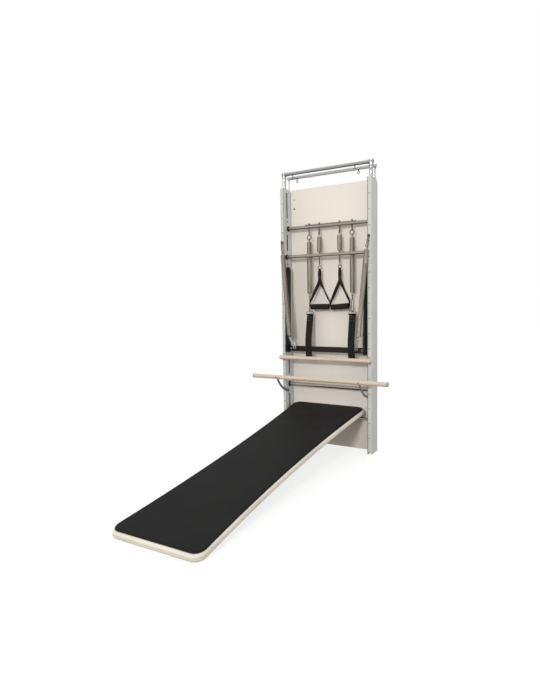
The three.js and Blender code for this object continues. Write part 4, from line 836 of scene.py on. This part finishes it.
# quarter turns of the webbing at three places on each side
QUARTER = {-1: (0.10, 0.45, 0.72), 1: (0.35, 0.88, 0.80)}
for side, x in SHORT_X.items():
    t = math.radians(TURN[side])
    ux, uy = turned(X, Y, t), turned(Y, -X, t)
    origin = P(x, UY, 0)
    tilt = math.radians(TILT[side])

    def H(a, b, z):
        """A point of the handle: across, towards the wall, and height; below the split it tilts."""
        fall = max(0, min(1, (SPLIT_Z - z) / (SPLIT_Z - CORNER_Z)))
        return origin + ux * (a * MM) + uy * (b * MM) + Z * ((z + a * math.tan(tilt) * fall) * MM)

    body = f"short_{side}"
    v, f = sweep(arc(H(0, 0, RING_Z), ux, Z, RING_R, 0, 360, 36)[:-1], RING_WIRE, 12, closed=True)
    build(f"handle_ring_{side}_fine", v, f, M_IRON, body, cad=f"handle_ring_{side}", slot="steel")
    # the webbing: one strip up either side, turned a quarter where the two meet in the tab
    parts = []
    run = CORNER_Z - SPLIT_Z
    for s in (-1, 1):
        near, mid, far = QUARTER[s]
        pts = [(0, 1360, 0), (0, 1340, 0), (0, 1312, 0), (0.6, 1296, 0), (3.0, 1283, near * 0.5),
               (8.0, 1269, near)]
        way_down = ((0.2, near * 0.6 + mid * 0.4), (0.36, mid), (0.52, mid), (0.68, (mid + far) / 2),
                    (0.84, far), (0.95, 0.9))
        pts += [(WEB_HALF_W * q, SPLIT_Z + run * q, w) for q, w in way_down]
        pts += [(WEB_HALF_W - a, z, w) for a, z, w in (
            (0.7, CORNER_Z - 4, 0.96), (0, CORNER_Z - 14, 1), (0.4, GRIP_Z + 9, 1),
            (3, GRIP_Z + 2.6, 1), (7, GRIP_Z + 0.2, 1), (16, GRIP_Z, 1))]
        line = smooth_line([H(s * a, 0, z) for a, z, _ in pts], 5)
        turns = [p[2] + (q[2] - p[2]) * k / 5 for p, q in zip(pts, pts[1:]) for k in range(5)] + [1]
        across = [turned(ux, uy, w * math.pi / 2) for w in turns]
        off = [p - uy * (s * WEB_SHIFT * MM * (1 - w)) for p, w in zip(line, turns)]
        parts.append(ribbon(off, across, WEB_W, FOLD_THICK))
    fold_z = RING_Z - RING_R
    fold = arc(H(0, 0, fold_z), uy, Z, FOLD_R, -68, 248, 19)
    parts.append(ribbon(fold, ux, 16, FOLD_THICK, cells=6))
    neck = [(fold_z - 5, 16), (fold_z - 7, 19), (fold_z - 9, 22), (fold_z - 11.5, 24.5),
            (fold_z - 16, NECK_W), (1330, NECK_W), (1306, NECK_W)]
    tab = []
    for z, w in neck:
        edge = ((-w / 2, NECK_SIDE), (1 - w / 2, NECK_FACE), (w / 2 - 1, NECK_FACE), (w / 2, NECK_SIDE))
        tab += [H(a, -b, z) for a, b in edge] + [H(a, b, z) for a, b in reversed(edge)]
    parts.append((tab, loft(len(neck), 8)))
    v, f = joined(*parts)
    build(f"handle_webbing_{side}", v, f, M_STRAP, body, cad=f"handle_web_{side}", slot="webbing", sharp=50)
    for k, z in enumerate((1354, 1318, 1309)):
        v, f = sweep([H(a, -2.9, z) for a in np.linspace(-10, 10, 12)], 0.4, 6)
        build(f"handle_stitch_{side}_{k}", v, f, M_SEAM, body, slot="webbing")
    # the grip: foam over a tube, with shallow ribs and rounded ends
    prof = [(GRIP_BORE, -GRIP_HALF), (18.6, -GRIP_HALF), (20.6, 1.1 - GRIP_HALF), (GRIP_R, 3.5 - GRIP_HALF)]
    flat_half = GRIP_HALF - 4.5
    for i in range(61):
        h = -flat_half + 2 * flat_half * i / 60
        prof.append((GRIP_R - RIB_DEPTH * (1 - math.cos(2 * math.pi * h / RIB_STEP)) * 0.5, h))
    prof += [(r, -h) for r, h in reversed(prof[:4])]
    bore = [(GRIP_BORE, GRIP_HALF - 0.1), (GRIP_BORE - 0.3, flat_half), (GRIP_BORE - 0.3, -flat_half),
            (GRIP_BORE, 0.1 - GRIP_HALF)]
    way = turned(ux, Z, tilt)
    middle = origin + Z * (GRIP_Z * MM)
    v, f = joined(lathe(prof, middle, way, 40), lathe(bore, middle, way, 40))
    build(f"handle_foam_{side}", v, f, M_FOAM, body, cad=f"handle_grip_{side}", slot="foam")

# Roll-down bar, its hooks, the barre
ROLL_R, ROLL_HALF, BARRE_R, BARRE_HALF, BARRE_Y, BARRE_Z = 15, 376.0, 16, 535.0, -155, 558
start = [(0, 0), (6, 0.4), (10, 1.6), (13, 3.8), (14.5, 6.6), (ROLL_R, 10)]
prof = [(r, h - ROLL_HALF) for r, h in start]
prof += [(ROLL_R, h) for h in between(10 - ROLL_HALF, ROLL_HALF - 10, 30)]
prof += [(r, ROLL_HALF - h) for r, h in reversed(start)]
v, f = lathe(prof, P(0, -38, 698), X)
build("roll_down_dowel", v, f, M_DOWEL, "roll_bar", cad="roll_down_bar", slot="wood", sharp=60)
for side, _ in SIDES:
    refine(f"j_hook_{side}", M_HOOK, 0.5, 2)
    refine(f"barre_arm_{side}", M_GREY, 0.6, 2)

v, f = lathe(rod(BARRE_R, BARRE_HALF, 40), P(0, BARRE_Y, BARRE_Z), X, 56)
build("barre_dowel", v, f, M_BARRE, cad="barre", slot="wood")
CAP = [(0, 0.3), (16.6, 0.3), (16.6, 8), (16.1, 10.2), (14.6, 11.8), (11.5, 12.3), (0, 12.3)]
BARRE_SCREW = [(0, -2.2), (3, -2.2), (4.6, -1.4), (5, 0.4), (0, 0.4)]
for side, s in SIDES:
    v, f = lathe(CAP, P(s * BARRE_HALF, BARRE_Y, BARRE_Z), s * X)
    build(f"barre_cap_{side}_fine", v, f, M_CAP, cad=f"barre_cap_{side}", slot="cap")
    v, f = lathe(BARRE_SCREW, P(s * 334.5, BARRE_Y - BARRE_R + 0.1, BARRE_Z), Y, 20)
    build(f"barre_screw_{side}", v, f, M_DARK, slot="dark")

# Mat
MAT_L, MAT_HEAD_W, MAT_WAIST_W, BASE_T = 2009.0, 602.0, 511.0, 37.0
RISE = BAR_R + 0.4 + 18 + GAP
HEAD, EDGE, SUPPORT_Y, SUPPORT_Z = 30.0, 15.0, 62.0, 255.0
lift, run = RISE + EDGE, MAT_L - HEAD - EDGE
slope = math.atan2(lift, run) + math.asin((SUPPORT_Z - EDGE) / math.hypot(lift, run))
MROT = Matrix.Rotation(math.pi / 2 + slope, 4, "X")
MORG = P(0, SUPPORT_Y, SUPPORT_Z)
WAIST_AT = MAT_L * (0.5 - 0.465)


def mat_half(along):
    """Half the base's width; along runs from the middle, positive to the near end."""
    flare = (WAIST_AT - along) / (MAT_L / 2 + WAIST_AT)
    return MAT_WAIST_W / 2 + (MAT_HEAD_W - MAT_WAIST_W) / 2 * flare ** 2


def mat_place(x, along, height):
    """The height is above the support bar's axis."""
    local = Vector((x * MM, height * MM, (along + MAT_L / 2 - HEAD) * MM))
    return MORG + (MROT @ local)


def round_corner(a, b, half_w, half_l, radius):
    """Moves a point of a rectangle's grid so that the rectangle's corners become round."""
    cx, cy = half_w - radius, half_l - radius
    dx, dy = abs(a) - cx, abs(b) - cy
    if dx <= 0 or dy <= 0:
        return a, b
    far = max(dx, dy)
    ang = math.pi / 4 * min(dx, dy) / far
    nx, ny = far * math.cos(ang), far * math.sin(ang)
    if dx < dy:
        nx, ny = ny, nx
    return math.copysign(cx + nx, a), math.copysign(cy + ny, b)


def drawn_in(a, along, half_w, inset):
    """Moves a point across, so that the long sides follow the mat's waist."""
    return a * (mat_half(along) - inset) / half_w


def pad_axis(half, radius, cell):
    """Grid stations: even in the middle, with the corner's own cells, close together at the rim."""
    cx = half - radius
    mid = between(-cx, cx, max(2, round(2 * cx / cell)))
    k = max(4, round(radius / cell))
    steps = [cx] + [cx + radius * (1 - (1 - i / k) ** 1.5) for i in range(1, k + 1)]
    return [-t for t in reversed(steps)] + mid + steps


PAD_CORNER, PAD_CELL, PAD_THICK, PAD_EDGE, PAD_CROWN, CROWN_REACH = 56, 11, 10, 5, 2.2, 60.0


def cushion(name, half_w, half_l, centre, inset, low):
    """The upholstered pad: rounded rim, drawn-in sides, and a top that the stuffing pushes up."""
    radius, edge, high = PAD_CORNER, PAD_EDGE, low + PAD_THICK
    xs = pad_axis(half_w, radius, PAD_CELL)
    ys = pad_axis(half_l, radius, PAD_CELL)
    nx, ny = len(xs), len(ys)
    flat = []
    for b in ys:
        for a in xs:
            px, py = round_corner(a, b, half_w, half_l, radius)
            dx, dy = abs(px) - half_w + radius, abs(py) - half_l + radius
            if dx > 0 and dy > 0:
                depth = max(0, radius - math.hypot(dx, dy))
            else:
                depth = max(0, min(half_w - abs(px), half_l - abs(py)))
            k = min(1, depth / edge)
            z = high - edge * (1 - math.sqrt(max(0, 1 - (1 - k) ** 2)))
            flat.append((drawn_in(px, py + centre, half_w, inset), py, z, depth))
    faces = [(j * nx + i, j * nx + i + 1, (j + 1) * nx + i + 1, (j + 1) * nx + i)
             for j in range(ny - 1) for i in range(nx - 1)]
    lifted = puff(flat, faces)
    verts = [mat_place(x, y + centre, z + d) for (x, y, z, _), d in zip(flat, lifted)]
    last = ny * nx
    rim = [*range(nx), *range(2 * nx - 1, last, nx), *range(last - 2, last - nx - 1, -1),
           *range(last - 2 * nx, 0, -nx)]
    prev = rim
    levels = [(0.5, high - edge - 0.8), (0.15, (high - edge + low) / 2), (0.6, low + 1.2), (2.0, low)]
    for drawn, z in levels:
        ring = range(len(verts), len(verts) + len(rim))
        verts += [mat_place(flat[i][0] * (1 - drawn / half_w), flat[i][1] * (1 - drawn / half_l) + centre, z)
                  for i in rim]
        for k in range(len(rim)):
            k2 = (k + 1) % len(rim)
            faces.append((prev[k], ring[k], ring[k2], prev[k2]))
        prev = ring
    faces.append(tuple(prev))
    return build(name, verts, faces, M_MAT, "mat", cad="mat_top", slot="mat", sharp=50)


def puff(flat, faces):
    """Cloth simulation of the cover over its stuffing: the rim is pinned and pressure lifts the rest."""
    me = bpy.data.meshes.new("puff")
    me.from_pydata([(x * MM, y * MM, 0) for x, y, _, _ in flat], [], faces)
    obj = add_object("puff", me)
    pin = obj.vertex_groups.new(name="pin")
    pin.add([i for i, p in enumerate(flat) if p[3] < PAD_EDGE * 1.2], 1.0, "REPLACE")
    cloth = obj.modifiers.new("cloth", "CLOTH")
    st = cloth.settings
    st.vertex_group_mass = "pin"
    st.quality = 4
    st.mass = 0.4
    st.tension_stiffness = 40
    st.compression_stiffness = 40
    st.shear_stiffness = 10
    st.bending_stiffness = 2
    st.use_pressure = True
    st.uniform_pressure_force = 6
    st.use_pressure_volume = False
    st.effector_weights.gravity = 0
    st.pin_stiffness = 5
    cloth.point_cache.frame_start = 1
    cloth.point_cache.frame_end = 20
    sc = bpy.context.scene
    for frame_no in range(1, 15):
        sc.frame_set(frame_no)
    deps = bpy.context.evaluated_depsgraph_get()
    ev = obj.evaluated_get(deps).to_mesh()
    z = np.abs([v.co.z for v in ev.vertices]) / MM
    obj.evaluated_get(deps).to_mesh_clear()
    obj.modifiers.clear()
    bpy.data.objects.remove(obj)
    sc.frame_set(1)
    top = np.percentile(z, 97) if z.max() > 0.01 else 1.0
    return np.minimum(z / top, 1.05) * PAD_CROWN


TOP_LOW = RISE + BASE_T + GAP
TOP_INSET, NEAR_INSET = 7.0, 16.0
pad = cushion("mat_cushion", MAT_HEAD_W / 2 - TOP_INSET, MAT_L / 2 - (TOP_INSET + NEAR_INSET) / 2,
              (TOP_INSET - NEAR_INSET) / 2, TOP_INSET, TOP_LOW)

BOARD_CORNER, CORNER_STEPS, SIDE_STEPS, END_STEPS, EDGE_STEPS = 62, 14, 40, 12, 8


def board(name, half_w, half_l, low, high):
    """The wrapped base: every edge rounded alike, and a shallow seam round its side."""
    radius, edge = BOARD_CORNER, EDGE
    cx, cy = half_w - radius, half_l - radius
    corners = ((cx, -cy), (cx, cy), (-cx, cy), (-cx, -cy))
    ways = ((1, 0), (0, 1), (-1, 0), (0, -1))
    outline = []
    for n, (sx, sy) in enumerate(corners):
        for i in range(CORNER_STEPS + 1):
            a = math.pi / 2 * (n - 1 + i / CORNER_STEPS)
            outline.append((sx, sy, math.cos(a), math.sin(a)))
        ex, ey = corners[(n + 1) % 4]
        steps = END_STEPS if n % 2 else SIDE_STEPS
        outline += [(px, py, *ways[n]) for px, py in zip(between(sx, ex, steps), between(sy, ey, steps))]
    bend = [math.pi / 2 * i / EDGE_STEPS for i in range(EDGE_STEPS + 1)]
    levels = [(edge * (1 - math.sin(a)), low + edge * (1 - math.cos(a))) for a in bend]
    levels += [(0.5, low + edge + 1.5), (1.2, (low + high) / 2), (0.5, high - edge - 1.5)]
    levels += [(edge * (1 - math.cos(a)), high - edge + edge * math.sin(a)) for a in bend]
    verts = []
    m = len(outline)
    for inset, z in levels:
        for ox, oy, nx, ny in outline:
            px, py = ox + nx * (radius - inset), oy + ny * (radius - inset)
            verts.append(mat_place(drawn_in(px, py, half_w, 0), py, z))
    faces = loft(len(levels), m, ends=False)
    for ring, z in ((0, low), (len(levels) - 1, high)):
        mid = len(verts)
        verts.append(mat_place(0, 0, z))
        for k in range(m):
            faces.append((mid, ring * m + (k + 1) % m, ring * m + k))
    return build(name, verts, faces, M_CREAM, "mat", cad="mat_base", slot="cream", sharp=0)


base = board("mat_base_wrapped", MAT_HEAD_W / 2, MAT_L / 2, RISE, RISE + BASE_T)
for side, _ in SIDES:
    refine(f"mat_hook_{side}", M_STEEL, 0.5, 2)


# Floor, world, lights
def shown_rays(m):
    """1 for what the camera sees, straight, mirrored or through glass."""
    path = add_node(m, "LightPath", {}).outputs
    level = path["Is Camera Ray"]
    for other in ("Is Glossy Ray", "Is Transmission Ray"):
        level = add_node(m, "Math", {0: level, 1: path[other]}, operation="MAXIMUM").outputs[0]
    return level


FLOOR_HALF, FLOOR_Z = 14.0, -0.0004
FLOOR_SEEN, FLOOR_GLOW, FLOOR_LIT = (0.26, 0.26, 0.26, 1), 0.77, (0.28, 0.22, 0.155, 1)


def floor():
    """A plain floor that shows the camera white, and keeps a faint shadow."""
    me = bpy.data.meshes.new("floor")
    corners = ((-1, -1), (1, -1), (1, 1), (-1, 1))
    me.from_pydata([(x * FLOOR_HALF, y * FLOOR_HALF, FLOOR_Z) for x, y in corners], [], [(0, 1, 2, 3)])
    obj = add_object("floor", me)
    m = bpy.data.materials.new("floor")
    m.use_nodes = True
    m.node_tree.nodes.clear()
    seen = add_node(m, "BsdfDiffuse", {"Color": FLOOR_SEEN}).outputs[0]
    glow = add_node(m, "Emission", {"Strength": FLOOR_GLOW}).outputs[0]
    white = add_node(m, "AddShader", {0: seen, 1: glow}).outputs[0]
    lit = add_node(m, "BsdfDiffuse", {"Color": FLOOR_LIT}).outputs[0]
    mix = add_node(m, "MixShader", {0: shown_rays(m), 1: lit, 2: white}).outputs[0]
    add_node(m, "OutputMaterial", {"Surface": mix})
    me.materials.append(m)


SKY_LOW, SKY_HIGH = 0.88, 0.98


def world():
    """White where it is seen; as a light, brighter overhead than at the horizon."""
    w = bpy.data.worlds.new("world")
    bpy.context.scene.world = w
    w.use_nodes = True
    axes = add_node(w, "SeparateXYZ", {0: add_node(w, "TexCoord", {}).outputs["Generated"]})
    sky = spread(w, axes.outputs["Z"], SKY_LOW, SKY_HIGH)
    level = add_node(w, "Mix", {0: shown_rays(w), 2: sky, 3: 1.0}).outputs[0]
    feed(w, w.node_tree.nodes["Background"], {"Color": (1, 1, 1, 1), "Strength": level})


def area(name, at, target, size, energy, color=(1, 1, 1)):
    data = bpy.data.lights.new(name, "AREA")
    data.shape = "RECTANGLE"
    data.size, data.size_y = size
    data.energy = energy
    data.color = color
    way = (Vector(target) - Vector(at)).normalized()
    turn = way.to_track_quat("-Z", "Y").to_matrix().to_4x4()
    add_object(name, data).matrix_world = Matrix.Translation(at) @ turn


floor()
world()
area("key", (2.4, -13.7, 5.2), (0, 0.9, 1.1), (1.8, 1.4), 900, (1.0, 0.99, 0.97))
area("fill", (5.2, -1.8, 1.3), (0.2, -0.2, 0.6), (2.0, 1.6), 32)

bpy.context.scene.view_settings.view_transform = "Standard"
